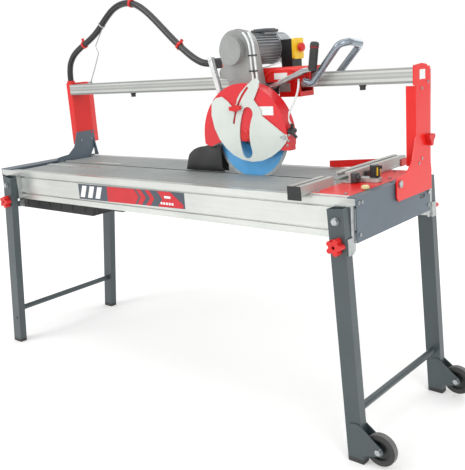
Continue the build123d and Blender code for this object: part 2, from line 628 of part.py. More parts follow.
# ------------------------------------------------------------------ carriage
def carriage(hose_end):
    y0 = rail_front - rail_gap - carriage_wall - 16
    y1 = rail_back + rail_gap + carriage_wall
    top = rail_top + roller_gap + 2 * roller_radius + 6.0
    deck = rail_top + 10.0
    body = block(carriage_left, carriage_right, y0, y1, deck, top)
    body += block(carriage_left, carriage_right, y0, y0 + 12, rail_bottom + 20, top)
    body += block(carriage_left, carriage_right, rail_back + rail_gap, y1, rail_bottom + 20, top)
    body = fillet(body.edges().filter_by(Axis.X).group_by(Axis.Z)[-1], 8)
    # roller pockets above the rail
    roller_z = rail_top + roller_gap + roller_radius
    for x in (carriage_left + 40, carriage_right - 40):
        body -= block(x - roller_radius - 2, x + roller_radius + 2, rail_front + 10, rail_back - 10,
                      rail_top, roller_z + roller_radius + 2)
        body += cylinder_along_y(x, roller_z, 3, rail_front + 4, rail_back - 4)
    # jaw that wraps the bottom of the rail
    jaw_left, jaw_right = carriage_left + jaw_inset_left, carriage_right - jaw_inset_right
    jaw = block(jaw_left, jaw_right, rail_front - rail_gap - carriage_wall, y1, rail_bottom - 30,
            rail_bottom - 14)
    jaw += block(jaw_left, jaw_right, rail_front - rail_gap - carriage_wall, rail_front - rail_gap,
                 rail_bottom - 30, rail_bottom + 21)
    jaw += block(jaw_left, jaw_right, rail_back + rail_gap, y1, rail_bottom - 30, rail_bottom + 21)
    jaw += block(jaw_left, jaw_right, y0 + 12 - 1, rail_front - rail_gap, rail_bottom + 15,
            rail_bottom + 21)
    body += jaw
    # arm that carries the head's pivot and the hose clamp
    arm = block(plunge_x - 60, carriage_left + 1, y0 + 6, y1, deck, top)
    arm += block(plunge_x - 22, plunge_x + 22, y0 + 6, rail_front - rail_gap, plunge_z - 20, top)
    arm += cylinder_along_y(plunge_x, plunge_z, 22, y0 + 6, rail_front - rail_gap)
    arm += block(plunge_x - 60, plunge_x - 48, y0 + 16, y1 - 20, top - 6, top + 44)
    body += arm
    body -= cylinder_along_y(plunge_x, plunge_z, plunge_pin_radius + shaft_fit, y0 - 10, y0 + 60)
    add("carriage", body)
    # rollers on the rail's top
    for x, name in ((carriage_left + 40, "left"), (carriage_right - 40, "right")):
        roller = cylinder_along_y(x, roller_z, roller_radius, rail_front + 12, rail_back - 12)
        roller -= cylinder_along_y(x, roller_z, 3 + shaft_fit, rail_front, rail_back)
        add(name + "_roller", roller)
    # hose clamp at the left of the carriage
    hx, hz = hose_end[0], deck + hose_clamp_rise
    clamp_x1 = plunge_x - 60
    clamp = Pos((hx + clamp_x1) / 2, hose_y, hz) * Box(clamp_x1 - hx, 36, 36)
    clamp = fillet(clamp.edges().filter_by(Axis.X), 8)
    clamp += block(clamp_x1 - 16, clamp_x1, hose_y - 18, hose_y + 18, deck + 1, hz - 10)
    add("carriage", clamp)
    # push handle: bent tube astride the rail
    tube = 11.0
    near, far = y0 - tube - 1, y1 + 16
    low = rail_top - 24
    x = carriage_right - 8
    points = [(x, near, low), (x + 26, near, low - 8), (x + 130, near, low + 107),
              (x + 150, near + 30, low + 111), (x + 148, far - 30, low + 104),
              (x + 128, far, low + 98), (x + 26, far, low - 8), (x, far, low)]
    handle = round_tube(points, [16, 24, 24, 24, 24, 16], tube)
    handle += block(x - 10, x + 4, near + 3, y0, low - 9, low + 9)
    handle += block(x - 10, x + 4, y1, far - 3, low - 9, low + 9)
    add("push_handle", handle)


# ------------------------------------------------------------------ head
def drive_housing():
    y0, y1 = housing_front, housing_front + housing_depth
    run = Vector(arbor_x - motor_x, 0, arbor_z - motor_z)
    across = Vector(run.Z, 0, -run.X).normalized() * -1

    def stadium(radius_top, radius_low, ya, yb):
        quad = [(motor_x + across.X * radius_top, motor_z + across.Z * radius_top),
                (arbor_x + across.X * radius_low, arbor_z + across.Z * radius_low),
                (arbor_x - across.X * radius_low, arbor_z - across.Z * radius_low),
                (motor_x - across.X * radius_top, motor_z - across.Z * radius_top)]
        shape = prism_along_y(quad, ya, yb)
        shape += cylinder_along_y(motor_x, motor_z, radius_top, ya, yb)
        shape += cylinder_along_y(arbor_x, arbor_z, radius_low, ya, yb)
        return shape
    low_radius = 48.0
    body = stadium(housing_radius, low_radius, y0, y1)
    body -= stadium(housing_radius - housing_wall, low_radius - housing_wall, y0 + housing_wall,
            y1 - housing_wall)
    # raised round cap over the motor pulley, rim bead
    body += cylinder_along_y(motor_x, motor_z, 46, y0 - 24, y0 + 1)
    bead = cylinder_along_y(motor_x, motor_z, housing_radius + 3, y0 + 20, y0 + 24)
    bead -= cylinder_along_y(motor_x, motor_z, housing_radius - 2, y0, y1)
    bead -= block(motor_x - 100, motor_x + 100, y0, y1, motor_z - 100, motor_z - 10)
    body += bead
    body -= cylinder_along_y(motor_x, motor_z, 41, y0 - 20, y0 + housing_wall + 1)
    # pivot lug with its pin
    body += cylinder_along_y(plunge_x, plunge_z, 20, y0 + 6, y1)
    body += prism_along_y([(plunge_x, plunge_z + 20), (plunge_x, plunge_z - 20), (motor_x,
            plunge_z - 26), (motor_x, plunge_z + 30)],
                          y1 - housing_wall, y1)
    # shaft passages
    body -= cylinder_along_y(arbor_x, arbor_z, bearing_outer, y0 - 30, y1 + 5)
    body -= cylinder_along_y(motor_x, motor_z, bearing_outer, y0 + 20, y1 + 5)
    add("drive_housing", body, cylinder_along_y(plunge_x, plunge_z, plunge_pin_radius, y1, y1 + 34))
    # bearings
    def bearing(x, z, shaft, ya, yb):
        ring = cylinder_along_y(x, z, bearing_outer, ya, yb) - cylinder_along_y(x, z, shaft + shaft_fit,
                ya - 1, yb + 1)
        return ring
    add("drive_housing", bearing(arbor_x, arbor_z, 12.7, y0, y0 + housing_wall),
        bearing(arbor_x, arbor_z, 12.7, y1 - housing_wall, y1),
        bearing(motor_x, motor_z, rotor_shaft_radius, y1 - housing_wall, y1))
    # belt round the two pulleys
    ya = (y0 + y1) / 2 - belt_width / 2
    gap = 0.4
    outer_r = pulley_radius + gap + belt_thickness
    belt = stadium_ring(across, outer_r, pulley_radius + gap, ya, ya + belt_width)
    add("drive_belt", belt)


def stadium_ring(across, outer_r, inner_r, y0, y1):
    def shape(r, ya, yb):
        quad = [(motor_x + across.X * r, motor_z + across.Z * r), (arbor_x + across.X * r,
                arbor_z + across.Z * r),
                (arbor_x - across.X * r, arbor_z - across.Z * r), (motor_x - across.X * r,
                        motor_z - across.Z * r)]
        body = prism_along_y(quad, ya, yb)
        body += cylinder_along_y(motor_x, motor_z, r, ya, yb)
        body += cylinder_along_y(arbor_x, arbor_z, r, ya, yb)
        return body
    return shape(outer_r, y0, y1) - shape(inner_r, y0 - 1, y1 + 1)


def arbor():
    y0, y1 = housing_front, housing_front + housing_depth
    middle = (y0 + y1) / 2
    shaft_radius = arbor_bore / 2
    inner_flange = cut_line_y + rim_width / 2
    shaft = cylinder_along_y(arbor_x, arbor_z, shaft_radius, cut_line_y - 14, y1 + 3)
    shaft += cylinder_along_y(arbor_x, arbor_z, flange_diameter / 2, cut_line_y + blade_core / 2,
            cut_line_y + blade_core / 2 + 6)
    shaft += cylinder_along_y(arbor_x, arbor_z, 16, cut_line_y + 6, y0 - 1)
    shaft += cylinder_along_y(arbor_x, arbor_z, pulley_radius, middle - belt_width / 2 - 1,
            middle + belt_width / 2 + 1)
    add("arbor_shaft", shaft)
    face = cut_line_y - blade_core / 2
    clamp = cylinder_along_y(arbor_x, arbor_z, flange_diameter / 2, face - 6, face)
    clamp -= cylinder_along_y(arbor_x, arbor_z, shaft_radius, face - 10, face + 1)
    add("blade_flange", clamp)
    nut = Pos(arbor_x, face - 6, arbor_z) * Rot(90, 0, 0) * hex_head(19, 9)
    nut -= cylinder_along_y(arbor_x, arbor_z, shaft_radius, face - 20, face + 1)
    add("blade_flange", nut)
    disc = cylinder_along_y(arbor_x, arbor_z, blade_radius - rim_depth, cut_line_y - blade_core / 2,
            cut_line_y + blade_core / 2)
    disc -= cylinder_along_y(arbor_x, arbor_z, shaft_radius, cut_line_y - 5, cut_line_y + 5)
    rim = cylinder_along_y(arbor_x, arbor_z, blade_radius, cut_line_y - rim_width / 2,
            cut_line_y + rim_width / 2)
    rim -= cylinder_along_y(arbor_x, arbor_z, blade_radius - rim_depth, cut_line_y - 5, cut_line_y + 5)
    add("blade", disc)
    add("blade", rim)


def motor():
    y0 = housing_front + housing_depth
    y1 = y0 + motor_length
    body = cylinder_along_y(motor_x, motor_z, motor_radius - fin_height, y0 + 3, y1)
    body += cylinder_along_y(motor_x, motor_z, motor_radius, y0 + 3, y0 + 17)
    body += cylinder_along_y(motor_x, motor_z, motor_radius, y1 - 8, y1)
    for i in range(fin_count):
        turn = 360.0 * i / fin_count
        fin = Pos(motor_x, (y0 + y1) / 2, motor_z) * Rot(0, turn,
                0) * Pos(motor_radius - fin_height / 2 - 1, 0, 0) * Box(fin_height + 2, motor_length - 10, 2.4)
        body += fin
    body += block(motor_x - 36, motor_x + 36, y0, y0 + 4, motor_z - 36, motor_z + 36)
    body -= cylinder_along_y(motor_x, motor_z, motor_radius - fin_height - 7, y0 + 8, y1 + 1)
    body -= cylinder_along_y(motor_x, motor_z, bearing_outer, y0 - 1, y0 + 20)
    add("motor_body", body)
    # terminal box on top
    lid = block(motor_x - 30, motor_x + 30, y1 - 62, y1 + 4, motor_z + motor_radius - 6,
            motor_z + motor_radius + 8)
    lid = fillet(lid.edges().filter_by(Axis.Z), 4)
    lid -= cylinder_along_y(motor_x, motor_z, motor_radius + 1.2, y1 - 100, y1 + 40)
    add("motor_body", lid)
    cowl = cylinder_along_y(motor_x, motor_z, motor_radius + 1, y1, y1 + cowl_length)
    cowl -= cylinder_along_y(motor_x, motor_z, motor_radius - 2, y1 - 1, y1 + cowl_length - 3)
    for ring in range(3):
        radius = 14 + 11 * ring
        slots = 6 + 4 * ring
        for i in range(slots):
            turn = 360.0 * i / slots
            cut = Pos(motor_x, y1 + cowl_length, motor_z) * Rot(0, turn, 0) * Pos(radius, 0, 0) * Box(6,
                    20, 4)
            cowl -= cut
    cowl = cowl.solids().sort_by(lambda s: s.volume)[-1]
    add("fan_cowl", cowl)
    # rotor: pulley, shaft, core and cooling fan
    middle = housing_front + housing_depth / 2
    rotor = cylinder_along_y(motor_x, motor_z, rotor_shaft_radius, housing_front - 8, y1 + 38)
    rotor += cylinder_along_y(motor_x, motor_z, pulley_radius, middle - belt_width / 2 - 1,
            middle + belt_width / 2 + 1)
    rotor += cylinder_along_y(motor_x, motor_z, motor_radius - fin_height - 10, y0 + 30, y1 - 30)
    rotor += cylinder_along_y(motor_x, motor_z, 20, y1 + 14, y1 + 34)
    for i in range(8):
        rotor += Pos(motor_x, y1 + 24, motor_z) * Rot(0, 45 * i, 0) * Pos(30, 0, 0) * Box(26, 18, 2.5)
    add("rotor", rotor)
    # switch box on the motor's right side
    sx0 = motor_x + motor_radius - 4
    sx1 = sx0 + 46
    sy0, sy1 = y1 - 4, y1 + 52
    box = block(sx0, sx1, sy0, sy1, motor_z - 68, motor_z + 26)
    box -= cylinder_along_y(motor_x, motor_z, motor_radius + 1.0, sy0 - 30, sy1 + 30)
    box = box.solids().sort_by(lambda s: s.volume)[-1]
    box -= cylinder_along_x(sy0 + 28, motor_z - 4, 5.3, sx1 - 12, sx1 + 10)
    add("switch_box", box)
    cover = block(sx1, sx1 + 10, sy0, sy1, motor_z - 42, motor_z + 28)
    cover = fillet(cover.edges().filter_by(Axis.X), 7)
    cover -= cylinder_along_x(sy0 + 28, motor_z - 4, 5.3, sx1 - 5, sx1 + 30)
    add("switch_cover", cover)
    button = cylinder_along_x(sy0 + 28, motor_z - 4, 5, sx1 - 6, sx1 + 18)
    button += cylinder_along_x(sy0 + 28, motor_z - 4, 15, sx1 + 17, sx1 + 28)
    button = fillet(button.edges().filter_by(GeomType.CIRCLE).sort_by(Axis.X)[-1], 4)
    add("stop_button", button)
    return y1


def guard():
    cy, cz = arbor_x - 8.0, arbor_z - 6.0
    front, back = guard_front, housing_front - 2.0

    def outline(radius, inset):
        pts = arc_outline(cy, cz, radius, -8, 188, 40)
        pts += [(cy - radius + 26, cz - 34 + inset), (cy - 112, cz - 20 + inset), (cy - 60,
                cz - 12 + inset),
                (cy + 60, cz - 12 + inset), (cy + 112, cz - 24 + inset)]
        return pts
    shell = prism_along_y(outline(guard_radius, 0), front, back)
    shell -= prism_along_y([(x, z) for x, z in outline(guard_radius - guard_wall, -30)],
            front + guard_wall, back + 1)
    # rear plate with the opening for the arbor
    rear = prism_along_y(outline(guard_radius, 0), back - guard_wall, back)
    rear -= cylinder_along_y(arbor_x, arbor_z, 40, back - 20, back + 20)
    rear -= block(arbor_x - 40, arbor_x + 40, back - 20, back + 20, arbor_z - 100, arbor_z)
    shell += rear
    # boss over the arbor nut
    shell += cylinder_along_y(arbor_x, arbor_z, 14, front - cover_gap + 0.5, front + 2)
    # hinge block at the right end
    hinge_x = cy + guard_radius - 6
    shell += block(hinge_x - 24, hinge_x + 18, front - 1, cut_line_y - rim_width / 2 - 2, cz - 38, cz + 14)
    # ribs to the drive housing
    for x, z in ((cy - 40, cz + 120), (cy + 66, cz + 100)):
        shell += cylinder_along_y(x, z, 7, back - 1, housing_front)
    shell -= cylinder_along_y(hinge_x, cz + 4, 4 + shaft_fit, front - 20, front + 26)
    add("blade_guard", shell)
    # slotted outer cover, swinging about the right-hand pin
    face1 = front - cover_gap
    face0 = face1 - cover_thickness
    edge = [(48, 181), (62, 184), (73, 173), (67, 153), (46, 116), (64, 95), (73, 82), (72, 68), (163, 7),
            (hinge_x + 8 - arbor_x, cz + 14 - arbor_z), (hinge_x + 12 - arbor_x,
                    cz - 2 - arbor_z), (164, -21), (144, -41), (107, -65), (70, -79), (27, -85),
            (-16, -79), (-52, -65), (-86, -41), (-111, -13), (-130, 23), (-140, 67), (-136, 111), (-114,
                    125), (-89, 129),
            (-64, 113), (-44, 93), (-26, 107), (-22, 121), (-8, 139), (18, 161)]
    edge = from_arbor(edge)
    plate = prism_along_y(edge, face0, face1)
    centre = (hinge_x, cz + 4)
    # arc slot for the wing knob, and arc slot round the arbor boss, both about the hinge pin
    def arc_slot(radius, a0, a1, half):
        outer = arc_outline(centre[0], centre[1], radius + half, a0, a1, 14)
        inner = arc_outline(centre[0], centre[1], radius - half, a1, a0, 14)
        slot = prism_along_y(outer + inner, face0 - 1, face1 + 1)
        for a in (a0, a1):
            slot += cylinder_along_y(centre[0] + radius * math.cos(math.radians(a)),
                                     centre[1] + radius * math.sin(math.radians(a)), half, face0 - 1, face1 + 1)
        return slot
    knob_radius = math.hypot(cover_knob_x - centre[0], cover_knob_z - centre[1])
    knob_angle = math.degrees(math.atan2(cover_knob_z - centre[1], cover_knob_x - centre[0]))
    plate -= arc_slot(knob_radius, knob_angle - 22, knob_angle + 14, 4.5)
    boss_radius = math.hypot(arbor_x - centre[0], arbor_z - centre[1])
    boss_angle = math.degrees(math.atan2(arbor_z - centre[1], arbor_x - centre[0]))
    plate -= arc_slot(boss_radius, boss_angle - 27, boss_angle + 19, 21)
    plate -= cylinder_along_y(centre[0], centre[1], 4 + shaft_fit, face0 - 5, face1 + 5)
    add("cover_plate", plate)
    # hinge pin of the cover and clamp knob
    pin = cylinder_along_y(centre[0], centre[1], 4, face0, front + 24)
    pin += cylinder_along_y(centre[0], centre[1], 7, face0 - 3.4, face0 - 0.4)
    add("blade_guard", pin)
    kx = centre[0] + knob_radius * math.cos(math.radians(knob_angle))
    kz = centre[1] + knob_radius * math.sin(math.radians(knob_angle))
    wing = cylinder_along_y(kx, kz, 11, face0 - 12, face0 - 0.4)
    wing += prism_along_y([(kx - 22, kz - 7), (kx - 24, kz + 5), (kx, kz + 9), (kx + 24, kz + 9),
            (kx + 22, kz - 5), (kx, kz - 9)],
                          face0 - 14, face0 - 5)
    wing -= cylinder_along_y(kx, kz, 4 + shaft_fit, face0 - 9, face0 + 1)
    add("cover_knob", wing)
    add("blade_guard", cylinder_along_y(kx, kz, 4, face0 - 8.5, front))
    # water tap at the right
    tap = cylinder_along_y(hinge_x + 14, cz + 22, 8, front + 8,
            front + 34) + cylinder_along_z(hinge_x + 14, front + 21, 5, cz + 20, cz + 44)
    tap += block(hinge_x - 8, hinge_x + 14, front + 14, front + 28, cz + 14, cz + 30)
    tap -= prism_along_y(outline(guard_radius, 0), front - 2, back + 2)
    tap -= block(hinge_x - 24, hinge_x + 18, front - 1, cut_line_y, cz - 38, cz + 14)
    tap = tap.solids().sort_by(lambda t: t.volume)[-1]
    add("water_tap", tap)
    lever = cylinder_along_y(hinge_x + 14, cz + 22, 6, front + 2, front + 7.6)
    lever += prism_along_y([(hinge_x + 8, cz + 26), (hinge_x + 14, cz + 30), (hinge_x + 44, cz + 6),
            (hinge_x + 38, cz)],
                           front + 2, front + 7.6)
    add("tap_lever", lever)
    # rubber splash flap, two sheets beside the blade joined at their trailing edge, and its bracket
    sheet = [(-312, -130), (-306, -101), (-288, -73), (-260, -53), (-216, -43), (-166, -41), (-130,
            -39), (-122, -93), (-154, -130)]
    sheet = from_arbor(sheet)
    for y in (cut_line_y - 18, cut_line_y + 15):
        add("splash_flap", prism_along_y(sheet, y, y + 3))
    bracket = block(152, 200, cut_line_y - 15, cut_line_y + 15, arbor_z - 55, arbor_z - 25)
    bracket -= block(150, 202, cut_line_y - 12, cut_line_y + 12, arbor_z - 63, arbor_z - 31)
    bracket += block(152, 200, cut_line_y - 15, cut_line_y + 15, arbor_z - 31, arbor_z - 8)
    bracket -= cylinder_along_y(cy, cz, guard_radius - 26, -60, 60)
    add("blade_guard", bracket)


def head_details(motor_end):
    y1 = housing_front + housing_depth
    # plunge handle: inclined arm and rubber grip
    arm = prism_along_y(from_arbor([(18, 141), (34, 135), (179, 185), (194, 199), (182, 205), (94, 169),
            (18, 153)]), 56, 62)
    arm += prism_along_y(from_arbor([(66, 150), (112, 160), (206, 192), (233, 195), (233, 199),
            (204, 197), (110, 165), (66, 155)]), grip_y - 12, 57)
    add("handle_arm", arm)
    grip = Pos(arbor_x + 237, grip_y, arbor_z + 240) * Rot(0, 9, 0) * Cylinder(14, 88)
    grip = fillet(grip.edges().filter_by(GeomType.CIRCLE).sort_by(Axis.Z)[-1], 9)
    add("handle_grip", grip)
    # depth-stop link at the left of the head
    link = prism_along_y(from_arbor([(-178, 259), (-160, 259), (-130, 135), (-148, 131)]),
            housing_front - 4, housing_front)
    link -= cylinder_along_y(arbor_x - 166, arbor_z + 241, 4, 0, 60)
    add("handle_arm", link)


def fence():
    base = table_height
    plate = block(fence_x - 90, half_length - end_flange_width - 2, -206, 204, base, base + 4)
    plate -= cylinder_along_z(fence_x, 0, 6, base - 1, base + 10)
    add("fence_base", plate)
    # lengthways fence bar with its red arm, swinging about the post
    top = base + 4
    bar = block(fence_x - 102, fence_x - 54, -50, 300, top + 1, top + 34)
    bar -= block(fence_x - 97, fence_x - 59, -51, 301, top + 6, top + 29)
    bar -= block(fence_x - 84, fence_x - 72, -51, 301, top + 29, top + 40)
    bar -= block(fence_x - 103, fence_x - 96, -51, 301, top + 12, top + 20)
    add("fence_bar", bar)
    link = block(fence_x - 54, fence_x + 10, -18, 18, top + 1, top + 12)
    link += cylinder_along_z(fence_x, 0, 20, top + 1, top + 12)
    link -= cylinder_along_z(fence_x, 0, 6 + shaft_fit, top - 5, top + 20)
    add("fence_bar", link)
    arm = prism_along_z([(fence_x - 290, 208), (fence_x - 288, 203), (fence_x - 106, 292),
            (fence_x - 106, 304), (fence_x - 112, 304)], top - 1.5, top + 20)
    arm += prism_along_z([(fence_x - 290, 208), (fence_x - 270, 200), (fence_x - 106, 270),
            (fence_x - 106, 300)], top - 1.5, top + 1.5)
    arm += block(fence_x - 110, fence_x - 102, 262, 304, top + 1, top + 24)
    arm += block(fence_x - 54, fence_x - 50, 262, 304, top + 1, top + 24) + block(fence_x - 110,
            fence_x - 50, 300, 304, top + 1, top + 24)
    add("fence_bar", arm)
    post = cylinder_along_z(fence_x, 0, 6, base, top + 14)
    post += cylinder_along_z(fence_x, 0, 11, top + 12.4, top + 17)
    add("fence_base", post)
    knob = Pos(fence_x, 0, top + 17.4 + 16) * star_knob(4, 12, 5, 11, 32)
    knob += block(fence_x - 4, fence_x + 22, -4, 4, top + 40, top + 49)
    add("fence_knob", knob)
    stop = block(fence_x - 138, fence_x - 92, -246, -78, base + 1, base + 28)
    stop -= block(fence_x - 133, fence_x - 97, -241, -77, base + 6, base + 23)
    stop -= block(fence_x - 121, fence_x - 109, -247, -77, base + 23, base + 30)
    stop += block(fence_x - 138, fence_x - 92, -250, -246, base - 12, base + 28)
    add("side_stop", stop)


def fasteners():
    for side in (-1, 1):
        for x, direction in ((half_length, 1), (-half_length, -1)):
            spots = [(side * (half_width - 10), table_height - 12), (side * (half_width - 26),
                    table_height - 13),
                     (side * (half_width - 14), beam_bottom + 14)]
            for y, z in spots:
                screw = Pos(x, y, z) * Rot(0, 90 * direction, 0) * (extrude(Circle(5),
                        amount=3.4) - Pos(0, 0, 2) * extrude(RegularPolygon(2.6, 6), amount=3))
                add("frame_bolts", screw)
    add("frame_bolts", Pos(half_length, 206, flare_bottom - 12) * Rot(0, 90, 0) * hex_head(6, 5))


end_plates()
for side, name in ((-1, "front_beam"), (1, "rear_beam")):
    add(name, beam(side))
table_panels()
cross_members()
water_tray()
leg_set("left", left_pivot_x, -left_splay)
leg_set("right", right_pivot_x, right_splay)
axle_x, axle_z = wheels()
supports()
hose_end = hose()
carriage(hose_end)
drive_housing()
arbor()
motor_end = motor()
guard()
head_details(motor_end)
fence()
fasteners()

boxes = [s.bounding_box() for solids in nodes.values() for s in solids]
low = [min(getattr(b.min, a) for b in boxes) for a in "XYZ"]
high = [max(getattr(b.max, a) for b in boxes) for a in "XYZ"]
shift = Vector(-(low[0] + high[0]) / 2, -(low[1] + high[1]) / 2, -low[2])
print("size", [round(h - l, 2) for l, h in zip(low, high)], "shift", [round(v, 3) for v in shift])
print("nodes", len(nodes), "axle", round(axle_x, 3), round(axle_z, 3))
os.makedirs("parts", exist_ok=True)
for name, solids in nodes.items():
    flat = [s for shape in solids for s in shape.solids()]
    export_step(Compound(children=[Location(shift) * s for s in flat]) if len(flat) > 1 else Location(shift) * flat[0],
                "parts/" + name + ".step")
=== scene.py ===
import bpy
import math
from mathutils import Matrix, Vector


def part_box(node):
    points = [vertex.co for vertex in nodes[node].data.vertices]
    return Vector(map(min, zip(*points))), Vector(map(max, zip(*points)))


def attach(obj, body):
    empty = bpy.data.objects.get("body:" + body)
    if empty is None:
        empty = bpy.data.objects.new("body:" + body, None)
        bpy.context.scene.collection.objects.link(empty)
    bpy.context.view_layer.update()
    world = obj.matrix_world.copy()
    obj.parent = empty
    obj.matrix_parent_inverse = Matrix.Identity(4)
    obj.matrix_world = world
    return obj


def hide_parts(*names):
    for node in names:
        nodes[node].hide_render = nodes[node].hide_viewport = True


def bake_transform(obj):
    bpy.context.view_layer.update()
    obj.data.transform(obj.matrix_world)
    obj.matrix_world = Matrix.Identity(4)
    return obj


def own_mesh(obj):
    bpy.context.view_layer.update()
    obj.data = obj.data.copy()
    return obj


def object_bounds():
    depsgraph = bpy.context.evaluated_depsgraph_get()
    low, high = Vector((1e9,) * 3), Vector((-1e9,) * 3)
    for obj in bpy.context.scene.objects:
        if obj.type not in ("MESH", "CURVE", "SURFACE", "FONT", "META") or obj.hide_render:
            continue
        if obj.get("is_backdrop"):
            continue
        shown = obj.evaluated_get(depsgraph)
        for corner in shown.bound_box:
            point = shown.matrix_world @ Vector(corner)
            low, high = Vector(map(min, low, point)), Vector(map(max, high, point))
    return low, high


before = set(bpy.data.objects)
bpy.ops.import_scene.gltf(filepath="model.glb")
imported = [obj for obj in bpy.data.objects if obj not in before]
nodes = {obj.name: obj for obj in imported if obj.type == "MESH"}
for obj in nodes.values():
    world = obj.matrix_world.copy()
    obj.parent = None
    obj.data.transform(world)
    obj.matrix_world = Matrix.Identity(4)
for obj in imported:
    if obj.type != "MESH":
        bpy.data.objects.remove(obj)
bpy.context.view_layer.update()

# The saw is drawn about the middle of its table frame, which is found from the two beams.
frontLow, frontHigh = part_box("front_beam")
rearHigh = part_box("rear_beam")[1]
middle = Vector(((frontLow.x + frontHigh.x) / 2, (frontLow.y + rearHigh.y) / 2, 0.0))


def at(x, y, z):
    # millimetres from the middle of the table frame, to metres in the shared frame
    return middle + Vector((x, y, z)) / 1000


def toLinear(hexText):
    def channel(text):
        value = int(text, 16) / 255
        return value / 12.92 if value <= 0.04045 else ((value + 0.055) / 1.055) ** 2.4
    return (channel(hexText[0:2]), channel(hexText[2:4]), channel(hexText[4:6]), 1.0)


def addNode(tree, kind, settings=None, links=None):
    node = tree.nodes.new(kind)
    for key, value in (settings or {}).items():
        if isinstance(key, int) or key in node.inputs:
            node.inputs[key].default_value = value
        else:
            setattr(node, key, value)
    for socket, source in (links or {}).items():
        tree.links.new(source, node.inputs[socket])
    return node


def deselectAll():
    for thing in bpy.context.selected_objects:
        thing.select_set(False)


def pick(thing):
    deselectAll()
    thing.select_set(True)
    bpy.context.view_layer.objects.active = thing


def settle(thing):
    pick(thing)
    bpy.ops.object.transform_apply(location=True, rotation=True, scale=True)
    return thing


def applyModifier(thing, kind, **settings):
    pick(thing)
    modifier = thing.modifiers.new(kind, kind)
    for key, value in settings.items():
        setattr(modifier, key, value)
    bpy.ops.object.modifier_apply(modifier=modifier.name)
    return thing


def joinAll(things, name):
    deselectAll()
    for thing in things:
        thing.select_set(True)
    bpy.context.view_layer.objects.active = things[0]
    if len(things) > 1:
        bpy.ops.object.join()
    things[0].name = name
    return things[0]


def addBlock(x0, x1, y0, y1, z0, z1, edge=1.0, segments=2):
    # a block with softened edges, by its faces in millimetres
    low = at(min(x0, x1), min(y0, y1), min(z0, z1))
    high = at(max(x0, x1), max(y0, y1), max(z0, z1))
    deselectAll()
    bpy.ops.mesh.primitive_cube_add(size=1, location=(low + high) / 2)
    thing = bpy.context.object
    thing.scale = high - low
    settle(thing)
    if edge:
        applyModifier(thing, "BEVEL", width=edge / 1000, segments=segments, limit_method="ANGLE")
    return thing


def softenEdges(thing, edge):
    # rounds the sharp edges of a drum or a plate, and leaves the shallow ones
    applyModifier(thing, "BEVEL", width=edge / 1000, segments=2, limit_method="ANGLE",
                  angle_limit=math.radians(50))


def addDrum(x, y, z, radius, length, along="Y", sides=32, edge=0.8):
    # a round piece centred on a point, with softened rims
    deselectAll()
    turn = {"X": (0, math.pi / 2, 0), "Y": (math.pi / 2, 0, 0), "Z": (0, 0, 0)}[along]
    bpy.ops.mesh.primitive_cylinder_add(vertices=sides, radius=radius / 1000, depth=length / 1000,
                                        location=at(x, y, z), rotation=turn)
    thing = settle(bpy.context.object)
    if edge:
        softenEdges(thing, edge)
    return thing


def addPlate(outline, y0, y1, edge=0.6):
    # a flat plate cut to an outline of (x, z) points, lying across Y
    corners = [at(x, y0, z) for x, z in outline]
    mesh = bpy.data.meshes.new("plate")
    mesh.from_pydata([tuple(c) for c in corners], [], [list(range(len(corners)))])
    thing = bpy.data.objects.new("plate", mesh)
    bpy.context.scene.collection.objects.link(thing)
    pick(thing)
    bpy.ops.object.mode_set(mode="EDIT")
    bpy.ops.mesh.select_all(action="SELECT")
    bpy.ops.mesh.extrude_region_move(TRANSFORM_OT_translate={"value": (0, (y1 - y0) / 1000, 0)})
    bpy.ops.mesh.select_all(action="SELECT")
    bpy.ops.mesh.normals_make_consistent(inside=False)
    bpy.ops.object.mode_set(mode="OBJECT")
    if edge:
        softenEdges(thing, edge)
    return thing


def addTube(points, radius, name="tube", sides=5):
    # a round tube along millimetre points
    curve = bpy.data.curves.new(name, "CURVE")
    curve.dimensions = "3D"
    curve.bevel_depth = radius / 1000
    curve.bevel_resolution = sides
    curve.use_fill_caps = True
    spline = curve.splines.new("NURBS")
    spline.points.add(len(points) - 1)
    for spot, point in zip(spline.points, points):
        spot.co = (*at(*point), 1.0)
    spline.order_u = 3
    spline.use_endpoint_u = True
    spline.resolution_u = 10
    thing = bpy.data.objects.new(name, curve)
    bpy.context.scene.collection.objects.link(thing)
    pick(thing)
    bpy.ops.object.convert(target="MESH")
    return bpy.context.object


def addPanHead(x, y, z, radius, along="Y", outward=-1):
    # domed screw head with a socket, modelled by insetting and pushing in its outer face
    quarter = math.pi / 2 * outward
    turn = {"X": (0, quarter, 0), "Y": (-quarter, 0, 0), "Z": (0, 0, 0)}[along]
    deselectAll()
    bpy.ops.mesh.primitive_cylinder_add(vertices=12, radius=radius / 1000,
                                        depth=radius * 0.7 / 1000,
                                        location=at(x, y, z), rotation=turn)
    thing = bpy.context.object
    mesh = thing.data
    top = max(range(len(mesh.polygons)), key=lambda i: mesh.polygons[i].center.z)
    bpy.ops.object.mode_set(mode="EDIT")
    bpy.ops.mesh.select_all(action="DESELECT")
    bpy.ops.object.mode_set(mode="OBJECT")
    mesh.polygons[top].select = True
    bpy.ops.object.mode_set(mode="EDIT")
    bpy.ops.mesh.select_mode(type="FACE")
    bpy.ops.mesh.inset(thickness=radius * 0.2 / 1000, depth=radius * 0.2 / 1000)
    bpy.ops.mesh.inset(thickness=radius * 0.28 / 1000, depth=0)
    bpy.ops.mesh.inset(thickness=radius * 0.02 / 1000, depth=-radius * 0.45 / 1000)
    bpy.ops.object.mode_set(mode="OBJECT")
    return settle(thing)


def finishPiece(thing, name, body, finish, angle=35):
    settle(thing)
    thing.name = name
    thing.data.name = name
    pick(thing)
    bpy.ops.object.shade_smooth_by_angle(angle=math.radians(angle))
    thing.data.materials.clear()
    thing.data.materials.append(finishes[finish])
    if body:
        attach(thing, body)
    return thing


